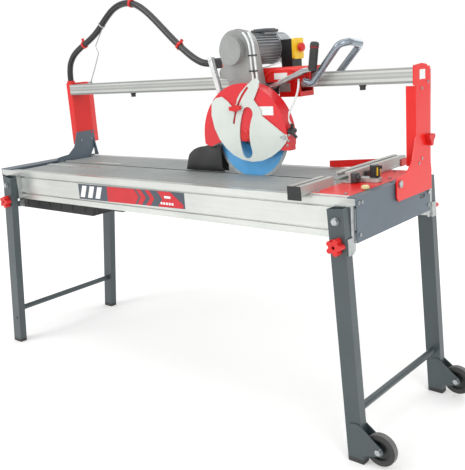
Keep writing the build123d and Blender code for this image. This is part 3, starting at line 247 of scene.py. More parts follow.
# Each finish: two tones of its colour, how rough and how metallic, the size of its broad and
# fine patterns in millimetres, how the fine pattern is stretched, how far it stands in relief,
# and any clear coat.
finishLooks = {
    # extruded aluminium, clear anodised: bright, drawn lines along X
    "anodisedAluminiumLengthways": dict(tones=("dadcd8", "c8cbc7"), rough=(0.28, 0.42),
                                        metal=0.75, broad=260, fine=1.6,
                                        stretch=(0.02, 1, 1), relief=0.05),
    # the same bar drawn along Y
    "anodisedAluminiumCrossways": dict(tones=("c9cdc9", "b6bbb7"), rough=(0.40, 0.54),
                                       metal=0.5, broad=160, fine=1.6,
                                       stretch=(1, 0.02, 1), relief=0.05),
    # ground aluminium plate with a dull grey hard coat: scuffed by tiles, lines along X
    "hardCoatedTable": dict(tones=("a7abaa", "959a98"), rough=(0.46, 0.64),
                            metal=0.35, broad=220, fine=2.2,
                            stretch=(0.03, 1, 1), relief=0.08),
    # blue-grey powder coat: fine orange peel
    "bluegreyPowderCoat": dict(tones=("5c6873", "545f69"), rough=(0.38, 0.50),
                               metal=0.0, broad=180, fine=1.8, relief=0.06, coat=0.1),
    # dark green-grey powder coat on the legs
    "greengreyPowderCoat": dict(tones=("434e51", "3b4649"), rough=(0.30, 0.44),
                                metal=0.0, broad=160, fine=1.8, relief=0.06, coat=0.2),
    # gloss red enamel on sheet steel: slight peel
    "redEnamel": dict(tones=("e2160f", "da140e"), rough=(0.26, 0.36),
                      metal=0.0, broad=260, fine=1.6, relief=0.02, coat=0.15),
    # moulded red nylon, knobs and clips: satin, faint mould grain
    "redNylon": dict(tones=("d61a18", "c81715"), rough=(0.30, 0.42),
                     metal=0.0, broad=60, fine=0.9, relief=0.05, coat=0.1),
    # moulded red ABS of the guard, a little pinker than the enamel
    "redGuardAbs": dict(tones=("d9272f", "d0222b"), rough=(0.28, 0.38),
                        metal=0.0, broad=200, fine=1.2, relief=0.03, coat=0.2),
    # grey-white powder coat on the guard's cover plate
    "greywhitePowderCoat": dict(tones=("d3d9d3", "c6cdc7"), rough=(0.34, 0.46),
                                metal=0.0, broad=120, fine=1.6, relief=0.07, coat=0.2),
    # die-cast aluminium, painted grey: grainy
    "greyCasting": dict(tones=("a2a4a2", "8e918f"), rough=(0.36, 0.55),
                        metal=0.35, broad=70, fine=1.4, relief=0.16, coat=0.1),
    # darker grey casting of the motor
    "motorCasting": dict(tones=("94989a", "7d8184"), rough=(0.36, 0.52),
                         metal=0.35, broad=60, fine=1.4, relief=0.16, coat=0.1),
    # zinc plated steel: pale with a patchy bluish sheen
    "zincPlate": dict(tones=("c3c6c6", "a7abac"), rough=(0.24, 0.42),
                      metal=1.0, broad=18, fine=0.8, relief=0.05),
    # turned steel: satin
    "turnedSteel": dict(tones=("b3b6b7", "94989a"), rough=(0.22, 0.38),
                        metal=1.0, broad=30, fine=0.7, relief=0.06),
    # bent steel tube with a grey metallic lacquer
    "greyLacqueredTube": dict(tones=("909aa3", "868f98"), rough=(0.22, 0.30),
                              metal=0.7, broad=240, fine=1.0, relief=0.01, coat=0.3),
    # blue paint on the blade's core
    "blueBladePaint": dict(tones=("63b6ef", "54aae6"), rough=(0.26, 0.38),
                           metal=0.15, broad=60, fine=1.6, relief=0.04, coat=0.3),
    # moulded black polypropylene: the tray
    "blackPolypropylene": dict(tones=("1d1f20", "151617"), rough=(0.42, 0.58),
                               metal=0.0, broad=90, fine=1.0, relief=0.14),
    # moulded black ABS: switch box, tap, hubs
    "blackAbs": dict(tones=("202224", "17191a"), rough=(0.34, 0.48),
                     metal=0.0, broad=40, fine=0.8, relief=0.10, coat=0.1),
    # yellow ABS switch cover
    "yellowAbs": dict(tones=("f6d22f", "ecc524"), rough=(0.30, 0.42),
                      metal=0.0, broad=40, fine=0.9, relief=0.06, coat=0.2),
    # black rubber: matt, dusted with stone slurry
    "blackRubber": dict(tones=("2a2a2a", "373837"), rough=(0.42, 0.62),
                        metal=0.0, broad=50, fine=1.2, relief=0.16),
    # polyethylene hose sleeve: black with a soft shine
    "blackHosePolyethylene": dict(tones=("161616", "1e1e1e"), rough=(0.28, 0.40),
                                  metal=0.0, broad=60, fine=1.2, relief=0.05, coat=0.25),
    # aluminium rail: painted shade, light and dark bands along its length that stand in for the light and
    # shade on its flutes
    "railAluminiumPaintedFluteShade": dict(tones=("dcdeda", "cfd2ce"), rough=(0.30, 0.42),
                                metal=0.6, broad=260, fine=1.6,
                                stretch=(0.02, 1, 1), relief=0.03,
                                paintedFluteShade=(1.037, 1.081, (
                                    (0.0, 0.42), (0.14, 0.46), (0.19, 0.98), (0.33, 1.0),
                                    (0.38, 0.62), (0.48, 0.66), (0.54, 0.86), (0.62, 0.84),
                                    (0.67, 0.66), (0.73, 0.70), (0.78, 1.0), (0.88, 0.96),
                                    (0.93, 0.5), (1.0, 0.55)))),
    # grey tyre rubber
    "greyTyreRubber": dict(tones=("6f706e", "5b5c5a"), rough=(0.50, 0.68),
                           metal=0.0, broad=24, fine=1.1, relief=0.18),
    # printed vinyl label, white
    "whiteVinyl": dict(tones=("e9ebe9", "dfe2e0"), rough=(0.30, 0.42),
                       metal=0.0, broad=30, fine=1.0, relief=0.02),
    # printed vinyl, slate
    "slateVinyl": dict(tones=("49515c", "424a55"), rough=(0.28, 0.40),
                       metal=0.0, broad=30, fine=1.0, relief=0.02),
    # printed vinyl, red
    "redVinyl": dict(tones=("c9202a", "bd1a25"), rough=(0.28, 0.40),
                     metal=0.0, broad=30, fine=1.0, relief=0.02),
    # clear flexible PVC water line
    "clearPvc": dict(tones=("dfe5e4", "cfd6d5"), rough=(0.12, 0.22),
                     metal=0.0, broad=30, fine=1.0, relief=0.03, coat=0.5),
    # silver-grey sintered rim of the blade: gritty
    "diamondRim": dict(tones=("c9cdcf", "a9adaf"), rough=(0.35, 0.55),
                       metal=0.8, broad=12, fine=0.7, relief=0.2),
    # dark red nylon collar
    "darkRedNylon": dict(tones=("7e1519", "6b1115"), rough=(0.32, 0.44),
                         metal=0.0, broad=30, fine=0.9, relief=0.06, coat=0.1),
    # pale grey lacquer on steel bar
    "paleLacquer": dict(tones=("dfe2e1", "cfd3d3"), rough=(0.24, 0.36),
                        metal=0.2, broad=60, fine=1.2, relief=0.04, coat=0.3),
    # dark casting of the terminal box
    "darkCasting": dict(tones=("4d5154", "404447"), rough=(0.38, 0.54),
                        metal=0.3, broad=50, fine=1.3, relief=0.14, coat=0.1),
    # cream ABS knob
    "creamAbs": dict(tones=("ddd49a", "d2c98c"), rough=(0.32, 0.44),
                     metal=0.0, broad=30, fine=0.9, relief=0.05, coat=0.15),
    # studio floor: pale matt paper
    "palePaper": dict(tones=("f4f4f3", "f1f1f0"), rough=(0.75, 0.90),
                      metal=0.0, broad=900, fine=6.0, relief=0.01),
}


patternSetup = {"broadDetail": 4.0, "broadRoughness": 0.55, "fineDetail": 3.0, "fineRoughness": 0.6,
                "fineShare": 0.35, "toneLow": 0.45, "toneHigh": 0.9, "shineLow": 0.3, "shineHigh": 0.7,
                "coatRoughness": 0.2}


def makeFinish(name, look):
    material = bpy.data.materials.new(name)
    material.use_nodes = True
    tree = material.node_tree
    shader = tree.nodes["Principled BSDF"]
    place = addNode(tree, "ShaderNodeTexCoord").outputs["Object"]
    p = patternSetup
    stretched = addNode(tree, "ShaderNodeMapping", {"Scale": look.get("stretch", (1, 1, 1))},
                        {"Vector": place})
    broad = addNode(tree, "ShaderNodeTexNoise",
                    {"Scale": 1000 / look["broad"], "Detail": p["broadDetail"],
                     "Roughness": p["broadRoughness"]}, {"Vector": place})
    fine = addNode(tree, "ShaderNodeTexNoise",
                   {"Scale": 1000 / look["fine"] / 2, "Detail": p["fineDetail"],
                    "Roughness": p["fineRoughness"]}, {"Vector": stretched.outputs["Vector"]})
    blend = addNode(tree, "ShaderNodeMath", {"operation": "MULTIPLY_ADD", 1: p["fineShare"]},
                    {0: fine.outputs["Fac"], 2: broad.outputs["Fac"]})
    spread = addNode(tree, "ShaderNodeMapRange", {"From Min": p["toneLow"], "From Max": p["toneHigh"]},
                     {"Value": blend.outputs[0]})
    colour = addNode(tree, "ShaderNodeMix", {"data_type": "RGBA"}, {0: spread.outputs[0]})
    colour.inputs[6].default_value = toLinear(look["tones"][0])
    colour.inputs[7].default_value = toLinear(look["tones"][1])
    tint = colour.outputs[2]
    # painted shade: a ramp across the height darkens the colour in bands, standing in for the light and
    # shade on an extrusion's flutes
    if look.get("paintedFluteShade"):  # shade across the height, such as an extrusion's flutes
        bottom, top, stops = look["paintedFluteShade"]
        height = addNode(tree, "ShaderNodeSeparateXYZ", {}, {"Vector": place}).outputs["Z"]
        share = addNode(tree, "ShaderNodeMapRange", {"From Min": bottom, "From Max": top},
                        {"Value": height})
        ramp = addNode(tree, "ShaderNodeValToRGB", {}, {"Fac": share.outputs[0]})
        steps = ramp.color_ramp.elements
        while len(steps) < len(stops):
            steps.new(0.5)
        for step, (spot, shade) in zip(steps, stops):
            step.position = spot
            step.color = (shade, shade, shade, 1)
        mixed = addNode(tree, "ShaderNodeMix",
                        {"data_type": "RGBA", "blend_type": "MULTIPLY", 0: 1.0},
                        {6: tint, 7: ramp.outputs[0]})
        tint = mixed.outputs[2]
    tree.links.new(tint, shader.inputs["Base Color"])
    rough = addNode(tree, "ShaderNodeMapRange",
                    {"From Min": p["shineLow"], "From Max": p["shineHigh"],
                     "To Min": look["rough"][0], "To Max": look["rough"][1]},
                    {"Value": fine.outputs["Fac"]})
    tree.links.new(rough.outputs[0], shader.inputs["Roughness"])
    bump = addNode(tree, "ShaderNodeBump",
                   {"Strength": look["relief"], "Distance": look["fine"] / 4000},
                   {"Height": fine.outputs["Fac"]})
    tree.links.new(bump.outputs[0], shader.inputs["Normal"])
    shader.inputs["Metallic"].default_value = look["metal"]
    if look.get("coat"):
        shader.inputs["Coat Weight"].default_value = look["coat"]
        shader.inputs["Coat Roughness"].default_value = p["coatRoughness"]
    return material


finishes = {name: makeFinish(name, look) for name, look in finishLooks.items()}
print("stage: finishes made", len(finishes))

# Which finish each CAD node wears
nodeFinish = {
    "front_beam": "anodisedAluminiumLengthways", "rear_beam": "anodisedAluminiumLengthways",
    "left_end_plate": "bluegreyPowderCoat", "right_end_plate": "bluegreyPowderCoat",
    "front_table": "hardCoatedTable", "rear_table": "hardCoatedTable", "cross_members": "zincPlate",
    "water_tray": "blackPolypropylene", "water_pump": "blackAbs",
    "leg_brackets": "zincPlate", "frame_bolts": "zincPlate",
    "fence_base": "redEnamel", "left_leg_tubes": "greengreyPowderCoat",
    "right_leg_tubes": "greengreyPowderCoat",
    "left_leg_feet": "blackRubber", "right_leg_feet": "blackRubber",
    "wheel_brackets": "greengreyPowderCoat",
    "front_wheel_tyre": "greyTyreRubber", "rear_wheel_tyre": "greyTyreRubber",
    "front_wheel_hub": "blackAbs", "rear_wheel_hub": "blackAbs",
    "front_left_leg_knob": "redNylon", "rear_left_leg_knob": "redNylon",
    "front_right_leg_knob": "redNylon",
    "rear_right_leg_knob": "redNylon", "right_column": "redEnamel", "left_column": "redEnamel",
    "left_support_foot": "bluegreyPowderCoat", "right_support_knob": "redNylon",
    "left_support_knob": "redNylon",
    "rail": "railAluminiumPaintedFluteShade", "hose": "blackRubber",
    "hose_clips": "redNylon", "support_wire": "zincPlate",
    "carriage": "redEnamel", "left_roller": "turnedSteel", "right_roller": "turnedSteel",
    "push_handle": "greyLacqueredTube", "drive_housing": "greyCasting", "drive_belt": "blackRubber",
    "arbor_shaft": "turnedSteel", "blade_flange": "turnedSteel", "blade": "blueBladePaint",
    "motor_body": "motorCasting", "fan_cowl": "motorCasting",
    "rotor": "turnedSteel", "switch_box": "blackAbs",
    "switch_cover": "yellowAbs", "stop_button": "redNylon",
    "blade_guard": "redGuardAbs", "cover_plate": "greywhitePowderCoat",
    "cover_knob": "redNylon", "water_tap": "blackAbs",
    "tap_lever": "blackAbs", "splash_flap": "blackRubber",
    "handle_arm": "zincPlate", "handle_grip": "blackRubber",
    "fence_bar": "anodisedAluminiumCrossways",
    "fence_knob": "blackAbs", "side_stop": "anodisedAluminiumCrossways",
}
for name, thing in nodes.items():
    thing.data.materials.clear()
    thing.data.materials.append(finishes[nodeFinish[name]])
    pick(thing)
    bpy.ops.object.shade_smooth_by_angle(angle=math.radians(28))
deselectAll()
print("stage: CAD nodes finished", len(nodes))

# Camera
cameraSetup = {"spot": (1823.57, -1829.19, 1147.34), "yaw": 41.64, "pitch": -14.17, "roll": -4.19,
               "lens": 54.14,
               "shiftX": 0.0083, "shiftY": 0.0029}
camera = bpy.data.objects.new("camera", bpy.data.cameras.new("camera"))
bpy.context.scene.collection.objects.link(camera)
yaw, pitch, roll = (math.radians(cameraSetup[k]) for k in ("yaw", "pitch", "roll"))
forward = Vector((-math.sin(yaw) * math.cos(pitch), math.cos(yaw) * math.cos(pitch),
                  math.sin(pitch)))
level = Vector((math.cos(yaw), math.sin(yaw), 0))
upward = level.cross(forward)
sideways = level * math.cos(roll) + upward * math.sin(roll)
overhead = upward * math.cos(roll) - level * math.sin(roll)
camera.matrix_world = Matrix((
    (sideways.x, overhead.x, -forward.x, at(*cameraSetup["spot"]).x),
    (sideways.y, overhead.y, -forward.y, at(*cameraSetup["spot"]).y),
    (sideways.z, overhead.z, -forward.z, at(*cameraSetup["spot"]).z),
    (0, 0, 0, 1)))
camera.data.lens = cameraSetup["lens"]
camera.data.shift_x = cameraSetup["shiftX"]
camera.data.shift_y = cameraSetup["shiftY"]
camera.data.clip_end = 100
bpy.context.scene.camera = camera

# Hose from the left support to the carriage
hoseSetup = {"diameter": 25.0, "y": 125.0, "length": 1.0588}
hoseRoute = [(-770, 1096.5), (-770, 1150), (-735, 1199), (-681, 1229), (-612, 1256),
             (-548, 1290), (-492, 1335), (-432, 1372), (-362, 1384), (-300, 1370),
             (-242, 1333), (-182, 1282), (-120, 1227), (-58, 1178), (-6, 1145),
             (38, 1130), (86, 1130)]


def routeLine(points, y):
    # the smooth centre line of a route, as points in the shared frame
    curve = bpy.data.curves.new("routeLine", "CURVE")
    curve.dimensions = "3D"
    spline = curve.splines.new("NURBS")
    spline.points.add(len(points) - 1)
    for spot, (x, z) in zip(spline.points, points):
        spot.co = (*at(x, y, z), 1.0)
    spline.order_u = 3
    spline.use_endpoint_u = True
    spline.resolution_u = 12
    holder = bpy.data.objects.new("routeLine", curve)
    bpy.context.scene.collection.objects.link(holder)
    bpy.context.view_layer.update()
    mesh = bpy.data.meshes.new_from_object(holder)
    line = [v.co.copy() for v in mesh.vertices]
    bpy.data.objects.remove(holder)
    bpy.data.curves.remove(curve)
    bpy.data.meshes.remove(mesh)
    return line


hoseLine = routeLine(hoseRoute, hoseSetup["y"])
hoseSleeve = addTube([(x, hoseSetup["y"], z) for x, z in hoseRoute], hoseSetup["diameter"] / 2,
                     "hoseSleeve", 7)


def acrossJoint(thing, name, finish, replaced=()):
    # a piece on the hose: finished, the CAD nodes it replaces hidden, and its placing baked into its mesh
    finishPiece(thing, name, None, finish)
    if replaced:
        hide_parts(*replaced)
    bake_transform(thing)
    return thing


acrossJoint(hoseSleeve, "hoseSleeve", "blackHosePolyethylene", ["hose"])
print("stage: hose")

# Second finishes on CAD nodes of more than one material
def paintPart(node, finish, belongs):
    thing = nodes[node]
    thing.data.materials.append(finishes[finish])
    number = len(thing.data.materials) - 1
    for face in thing.data.polygons:
        spot = (face.center - middle) * 1000
        if belongs(spot, face.normal):
            face.material_index = number


# axes in (x, z), the fence's in (x, y), and how far from them a second material reaches
arborSpot = (326.0, 893.0)
hingeSpot = (488.0, 891.0)
studSpot = (300.0, 984.0)
wheelSpot = (938.44, 58.0)
fenceSpot = (790.0, 0.0)
reaches = {"wheelBolt": 10.5, "rim": 142.5, "hinge": 7.5, "stud": 5, "fencePivot": 12,
           "knobStud": 0.0052}


def farFrom(spot, x, z):
    return math.hypot(spot.x - x, spot.z - z)


paintPart("rail", "blackRubber", lambda s, n: s.z < 1036.9)
paintPart("carriage", "blackAbs", lambda s, n: s.x < 139 and s.z > 1100)
paintPart("wheel_brackets", "zincPlate", lambda s, n: farFrom(s, *wheelSpot) < reaches["wheelBolt"])
paintPart("blade", "diamondRim", lambda s, n: farFrom(s, *arborSpot) > reaches["rim"])
paintPart("blade_guard", "zincPlate", lambda s, n: (s.x < 202 and s.z < 886 and abs(s.y - 8) < 15.2)
          or (s.y < -24.5 and farFrom(s, *hingeSpot) < reaches["hinge"])
          or (s.y < -24.5 and farFrom(s, *studSpot) < reaches["stud"]))
paintPart("fence_bar", "redEnamel",
          lambda s, n: s.x < 687.5 or s.y > 300.2 or (s.x > 736.2 and s.y > 250))
paintPart("fence_base", "zincPlate",
          lambda s, n: math.hypot(s.x - fenceSpot[0], s.y) < reaches["fencePivot"] and s.z > 762.2)
for table in ("front_table", "rear_table"):
    paintPart(table, "anodisedAluminiumLengthways", lambda s, n: s.z > 758.4)
for tyre in ("front_wheel_tyre", "rear_wheel_tyre"):
    paintPart(tyre, "blackRubber", lambda s, n: abs(n.y) > 0.6)
for leg in ("front_left", "rear_left", "front_right", "rear_right"):
    low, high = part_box(leg + "_leg_knob")
    spot = (low + high) / 2
    paintPart(leg + "_leg_knob", "blackAbs",
              lambda s, n: math.hypot(s.x / 1000 + middle.x - spot.x,
                                      s.z / 1000 - spot.z) < reaches["knobStud"])
paintPart("side_stop", "blackAbs", lambda s, n: s.y < -245.9)
print("stage: second finishes")


# More ways of making shapes
def addLathe(profile, x, y, z, along="Z", tilt=0.0, steps=36):
    # a turned piece: (radius, height) points in millimetres, spun about its axis by the spin tool
    mesh = bpy.data.meshes.new("turned")
    mesh.from_pydata([(r / 1000, 0, h / 1000) for r, h in profile],
                     [(i, i + 1) for i in range(len(profile) - 1)], [])
    thing = bpy.data.objects.new("turned", mesh)
    bpy.context.scene.collection.objects.link(thing)
    pick(thing)
    bpy.ops.object.mode_set(mode="EDIT")
    bpy.ops.mesh.select_all(action="SELECT")
    bpy.ops.mesh.spin(steps=steps, angle=2 * math.pi, center=(0, 0, 0), axis=(0, 0, 1))
    bpy.ops.mesh.select_all(action="SELECT")
    bpy.ops.mesh.remove_doubles(threshold=0.00001)
    bpy.ops.mesh.normals_make_consistent(inside=False)
    bpy.ops.object.mode_set(mode="OBJECT")
    thing.rotation_euler = {"Z": (0, math.radians(tilt), 0), "Y": (math.pi / 2, 0, 0)}[along]
    thing.location = at(x, y, z)
    return settle(thing)


def copyNode(name):
    # a copy of a CAD node's shape, with its doubled points merged
    thing = bpy.data.objects.new(name + "Copy", nodes[name].data.copy())
    bpy.context.scene.collection.objects.link(thing)
    pick(thing)
    bpy.ops.object.mode_set(mode="EDIT")
    bpy.ops.mesh.select_all(action="SELECT")
    bpy.ops.mesh.remove_doubles(threshold=0.00001)
    bpy.ops.object.mode_set(mode="OBJECT")
    return thing


# What is on the hose
acrossJoint(copyNode("hose_clips"), "hoseClips", "redNylon", ["hose_clips"])
acrossJoint(copyNode("support_wire"), "hoseSpringWire", "zincPlate", ["support_wire"])

# Splash flap: a rubber hood round the blade's leading edge
flapSetup = {"nose": 14.0, "tail": 200.0, "floor": 763.0, "crown": 852.0, "half": 17.0,
             "bulge": 8.0, "wall": 2.6, "table": 758.0, "gap": 1.5, "centre": 8.0, "lean": 14.0,
             "riseShare": 0.62, "across": 64, "tall": 14}


def makeFlap():
    deselectAll()
    f = flapSetup
    bpy.ops.mesh.primitive_grid_add(x_subdivisions=f["across"], y_subdivisions=f["tall"], size=1)
    thing = bpy.context.object
    for v in thing.data.vertices:
        s, t = v.co.x * 2, v.co.y + 0.5
        run = 1 - abs(s)
        x = f["nose"] + (f["tail"] - f["nose"]) * (1 - math.sin(run * math.pi / 2)) ** 0.9
        share = (x - f["nose"]) / (f["tail"] - f["nose"])
        side = math.copysign(1.0, s) if s else 1.0
        width = f["half"] * min(1.0, math.sqrt(max(share, 0.0) * 9.0))
        lobes = f["bulge"] * abs(math.sin(share * 2 * math.pi)) ** 0.7 \
            * math.sin(math.pi * min(1.0, t * 0.9 + 0.05))
        rise = math.sqrt(max(0.0, 1 - (1 - min(1.0, share / f["riseShare"])) ** 2))
        top = f["floor"] + (f["crown"] - f["floor"]) * (0.10 + 0.90 * rise)
        lean = f["lean"] * t * (1 - share) ** 2
        height = f["floor"] + (top - f["floor"]) * t
        offset = width + lobes * min(1.0, share * 6)
        if side < 0:  # the front skirt turns in at the foot; at full tilt it still cuts into the front table
            offset = min(offset, height - f["table"] - f["gap"])
        v.co = at(x + lean, f["centre"] + side * offset, height)
    settle(thing)
    applyModifier(thing, "SOLIDIFY", thickness=f["wall"] / 1000, offset=0)
    applyModifier(thing, "BEVEL", width=0.0006, segments=1, limit_method="ANGLE",
                  angle_limit=math.radians(60))
    return thing


flap = finishPiece(makeFlap(), "splashFlapHood", "head", "blackRubber", 50)
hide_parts("splash_flap")
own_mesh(flap)
print("stage: splash flap")

# Plunge handle grip: rubber sleeve with ribs, and a red collar under its cap
gripSetup = {"radius": 14.0, "length": 88.0, "ribs": 11, "ribbedLess": 26, "cap": 20,
             "tilt": 9.0}
gripLow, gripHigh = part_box("handle_grip")
gripMiddle = (gripLow + gripHigh) / 2
gripSpot = [(gripMiddle[i] - middle[i]) * 1000 for i in range(3)]


def gripProfile():
    r, half = gripSetup["radius"], gripSetup["length"] / 2
    points = [(0.01, -half), (r * 0.86, -half), (r * 0.95, -half + 2)]
    step = (gripSetup["length"] - gripSetup["ribbedLess"]) / gripSetup["ribs"]
    for i in range(gripSetup["ribs"]):
        z = -half + 4 + i * step
        points += [(r * 0.985, z), (r * 0.985, z + step * 0.72),
                   (r * 0.90, z + step * 0.80), (r * 0.90, z + step * 0.94)]
    top = half - gripSetup["cap"]
    points += [(r * 0.95, top), (r * 0.95, top + 7), (r, top + 8), (r, top + 12),
               (r * 0.93, top + 16), (r * 0.72, top + 19), (r * 0.3, top + 20), (0.01, top + 20)]
    return points


grip = addLathe(gripProfile(), *gripSpot, tilt=gripSetup["tilt"])
finishPiece(grip, "plungeGrip", "head", "blackRubber", 40)
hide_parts("handle_grip")
collar = addLathe([(13.2, 25), (14.2, 25.6), (14.2, 30.4), (13.2, 31)], *gripSpot, tilt=gripSetup["tilt"])
finishPiece(collar, "gripCollar", "head", "darkRedNylon")

# Labels, left blank, and the colour blocks on the front beam
labelSetup = {"proud": 0.35, "layer": 0.3, "topLayer": 0.65, "sideProud": 0.4}


def addLabel(name, body, finish, outline, y):
    return finishPiece(addPlate(outline, y, y - labelSetup["proud"], 0), name, body, finish)


beamFace = -222.0
middleFace, topFace = beamFace - labelSetup["layer"], beamFace - labelSetup["topLayer"]
addLabel("beamDecalSlate", "base", "slateVinyl", [(-343, 670), (-343, 728), (214, 730), (214, 676)],
         beamFace)
addLabel("beamDecalRed", "base", "redVinyl",
         [(-176, 671.5), (-176, 727), (-30, 727.5), (-8, 701), (-30, 673)], middleFace)
for i, (x0, x1) in enumerate([(4, 36), (50, 78)]):
    left, bend = x0 - 24, x0 + 8 - 24 + (x1 - x0) / 2
    addLabel("beamDecalRedStripe" + str(i + 1), "base", "redVinyl",
             [(left, 674), (x0, 701), (left, 728), (bend, 728), (x1 - 8, 701), (bend, 674)],
             middleFace)
addLabel("beamDecalRedEnd", "base", "redVinyl",
         [(86, 675), (110, 702), (86, 728.5), (150, 729), (206, 690), (206, 677)],
         middleFace)
for i in range(3):
    shift = i * 44
    addLabel("beamDecalPaleBar" + str(i + 1), "base", "whiteVinyl",
             [(-336 + shift, 678), (-318 + shift, 722), (-292 + shift, 722), (-310 + shift, 678)],
             middleFace)
for i in range(6):  # five short ticks in a row, and one longer above them
    x0, x1, z0, z1 = (100 + i * 13, 109 + i * 13, 684, 692) if i < 5 else (120, 150, 706, 714)
    addLabel("beamDecalTick" + str(i + 1), "base", "whiteVinyl",
             [(x0, z0), (x0, z1), (x1, z1), (x1, z0)], topFace)
addLabel("carriageLabel", "carriage", "whiteVinyl",
         [(378, 1066), (378, 1086), (431, 1086), (431, 1066)], 80.9)
addLabel("guardLabel", "head", "whiteVinyl",
         [(372, 960), (372, 988), (446, 988), (446, 960)], -24.0)


def addSideLabel(name, body, finish, x, y0, y1, z0, z1):
    # a label on a face that looks along X
    thing = addBlock(x, x + labelSetup["sideProud"], y0, y1, z0, z1, 0.1, 1)
    return finishPiece(thing, name, body, finish)


addSideLabel("columnLabel", "bridge", "whiteVinyl", 866.0, 136, 172, 1046, 1074)
print("stage: labels")

# Screw heads: the axis they look along, the face they stand on, then place and radius of each.
screwSetup = {"raised": 0.35}
screwSpots = {
    "head": [("Y", -29.2, [(475, 892, 3.2)], -1),
             ("Y", -25.6, [(502, 880, 4.0), (497, 866, 4.0), (504, 898, 4.0)], -1),
             ("Y", -15.4, [(164, 875, 4.2), (188, 872, 4.2)], -1),
             ("Y", 27.6, [(208, 1150, 3.6), (228, 1210, 3.6), (314, 1196, 3.6), (304, 1060, 3.6),
                          (236, 1070, 3.6)], -1)],
    "bridge": [("X", 866.4, [(150, 812, 4.5), (150, 1020, 4.5), (190, 1036, 4.5),
                             (130, 800, 4.5)], 1),
               ("X", -751.6, [(130, 836, 4.2), (186, 836, 4.2)], 1)],
    "base": [("Z", 762.3, [(716, -190, 4.6), (806, -190, 4.6), (806, 60, 4.6), (760, 176, 4.6),
                           (814, 182, 4.6), (714, 150, 4.6)], 1)],
}
for body, groups in screwSpots.items():
    heads = []
    for along, face, spots, outward in groups:
        for a, b, radius in spots:
            raised = face + radius * screwSetup["raised"]
            spot = {"Y": (a, face, b), "X": (face, a, b), "Z": (a, b, raised)}[along]
            heads.append(addPanHead(*spot, radius, along, outward))
    finishPiece(joinAll(heads, "screws"), body + "Screws", body, "zincPlate")
print("stage: screws")

# Arbor cap showing in the cover's slot
capProfile = [(18.6, 0), (19.0, 0.6), (19.0, 2.4), (17.6, 3.6), (12.5, 4.4), (12.0, 3.4),
              (5.0, 3.2), (0.01, 3.2)]
cap = addLathe(capProfile, 326, -24.2, 893, along="Y")
finishPiece(cap, "arborCap", "head", "redNylon")

# Clear water lines down the drive housing and from the rail to the tap
waterSetup = {"radius": 3.6, "routes": [
    [(300, 26, 1222), (322, 23, 1200), (329, 23, 1160), (330, 23, 1120), (334, 23, 1086),
     (340, 16, 1062), (344, 8, 1050)],
    [(322, 27, 1222), (341, 23, 1196), (346, 23, 1150), (348, 23, 1112), (352, 22, 1084),
     (358, 16, 1062), (366, 8, 1046)],
    [(496, 50, 1064), (501, 44, 1050), (499, 40, 1030), (491, 36, 1004), (481, 24, 976),
     (477, 12, 956), (484, 2, 940), (497, -3, 930)]]}
waterParts = [addTube(route, waterSetup["radius"]) for route in waterSetup["routes"]]
finishPiece(joinAll(waterParts, "waterLines"), "clearWaterLines", "head", "clearPvc",
            60)
clipParts = [addBlock(322, 354, 18.5, 28, z, z + 5, 1.0) for z in (1096, 1146)]
finishPiece(joinAll(clipParts, "clips"), "waterLineClips", "head", "blackAbs")
print("stage: water lines")

# Bright depth bar at the left of the head
barParts = [addPlate([(140, 1152), (156, 1156), (192, 1032), (176, 1026)], 24, 19.5, 0.8)]
barParts += [addDrum(152, 18.4, 1144, 5, 4, "Y", 20, 0.5), addDrum(184, 18.4, 1036, 5, 4, "Y", 20, 0.5)]
finishPiece(joinAll(barParts, "bar"), "depthBar", "head", "paleLacquer")

# Motor: terminal lid, cowl band, cable gland
motorParts = [addBlock(226, 290, 160, 236, 1222, 1232, 2.5, 3),
              addBlock(232, 284, 168, 228, 1231, 1235, 1.5, 2)]
finishPiece(joinAll(motorParts, "lid"), "terminalLid", "head", "darkCasting")
band = addLathe([(54.2, -2.5), (54.8, -2.2), (54.8, 2.2), (54.2, 2.5)], 258, 230, 1168, along="Y", steps=48)
finishPiece(band, "cowlBand", "head", "turnedSteel")
glandProfile = [(0.01, 0), (8, 0), (8, 7), (6.5, 8), (6.5, 15), (4.5, 18), (0.01, 18)]
gland = addLathe([(r, -h) for r, h in glandProfile], 330, 250, 1102, along="Z")
finishPiece(gland, "cableGland", "head", "blackAbs")

# On the carriage: grey plate with a bright edge, dark brush block, bright bar
shelf = [addPlate([(398, 1062), (410, 1052), (520, 1090), (512, 1100)], 78, 70, 0.8)]
finishPiece(joinAll(shelf, "shelf"), "carriageShelf", "carriage", "greywhitePowderCoat")
jaw = [addPlate([(386, 1024), (430, 1024), (430, 1056.5), (386, 1056.5)], 97.2, 95.4, 0.8)]
jaw += [addPanHead(x, 95.4, 1046, 3.2) for x in (392, 424)]
finishPiece(joinAll(jaw, "jaw"), "jawFacePlate", "carriage", "greyCasting")
wiperSetup = {"bristles": 5, "first": 349, "pitch": 6.2, "bristle": 4}
brush = [addBlock(346, 380, 84, 103.2, 1016, 1056, 2, 2)]
for i in range(wiperSetup["bristles"]):
    x = wiperSetup["first"] + i * wiperSetup["pitch"]
    brush.append(addBlock(x, x + wiperSetup["bristle"], 82.6, 85, 1019, 1053, 0.6, 1))
finishPiece(joinAll(brush, "brush"), "railWiper", "carriage", "blackAbs")
strip = [addPlate([(312, 1099), (314, 1104), (408, 1122), (408, 1117)], 82, 79.4, 0.6)]
finishPiece(joinAll(strip, "strip"), "brightStrip", "carriage", "paleLacquer")
ribOutlines = [[(322, 1068), (340, 1078), (352, 1090), (372, 1096), (372, 1090), (356, 1084),
                (346, 1072), (330, 1062)],
               [(440, 1098), (470, 1094), (500, 1082), (506, 1068), (498, 1068), (492, 1078),
                (466, 1088), (440, 1092)]]
ribs = [addPlate(outline, 81, 77, 0.8) for outline in ribOutlines]
finishPiece(joinAll(ribs, "ribs"), "carriageRibs", "carriage", "redEnamel")
print("stage: carriage")

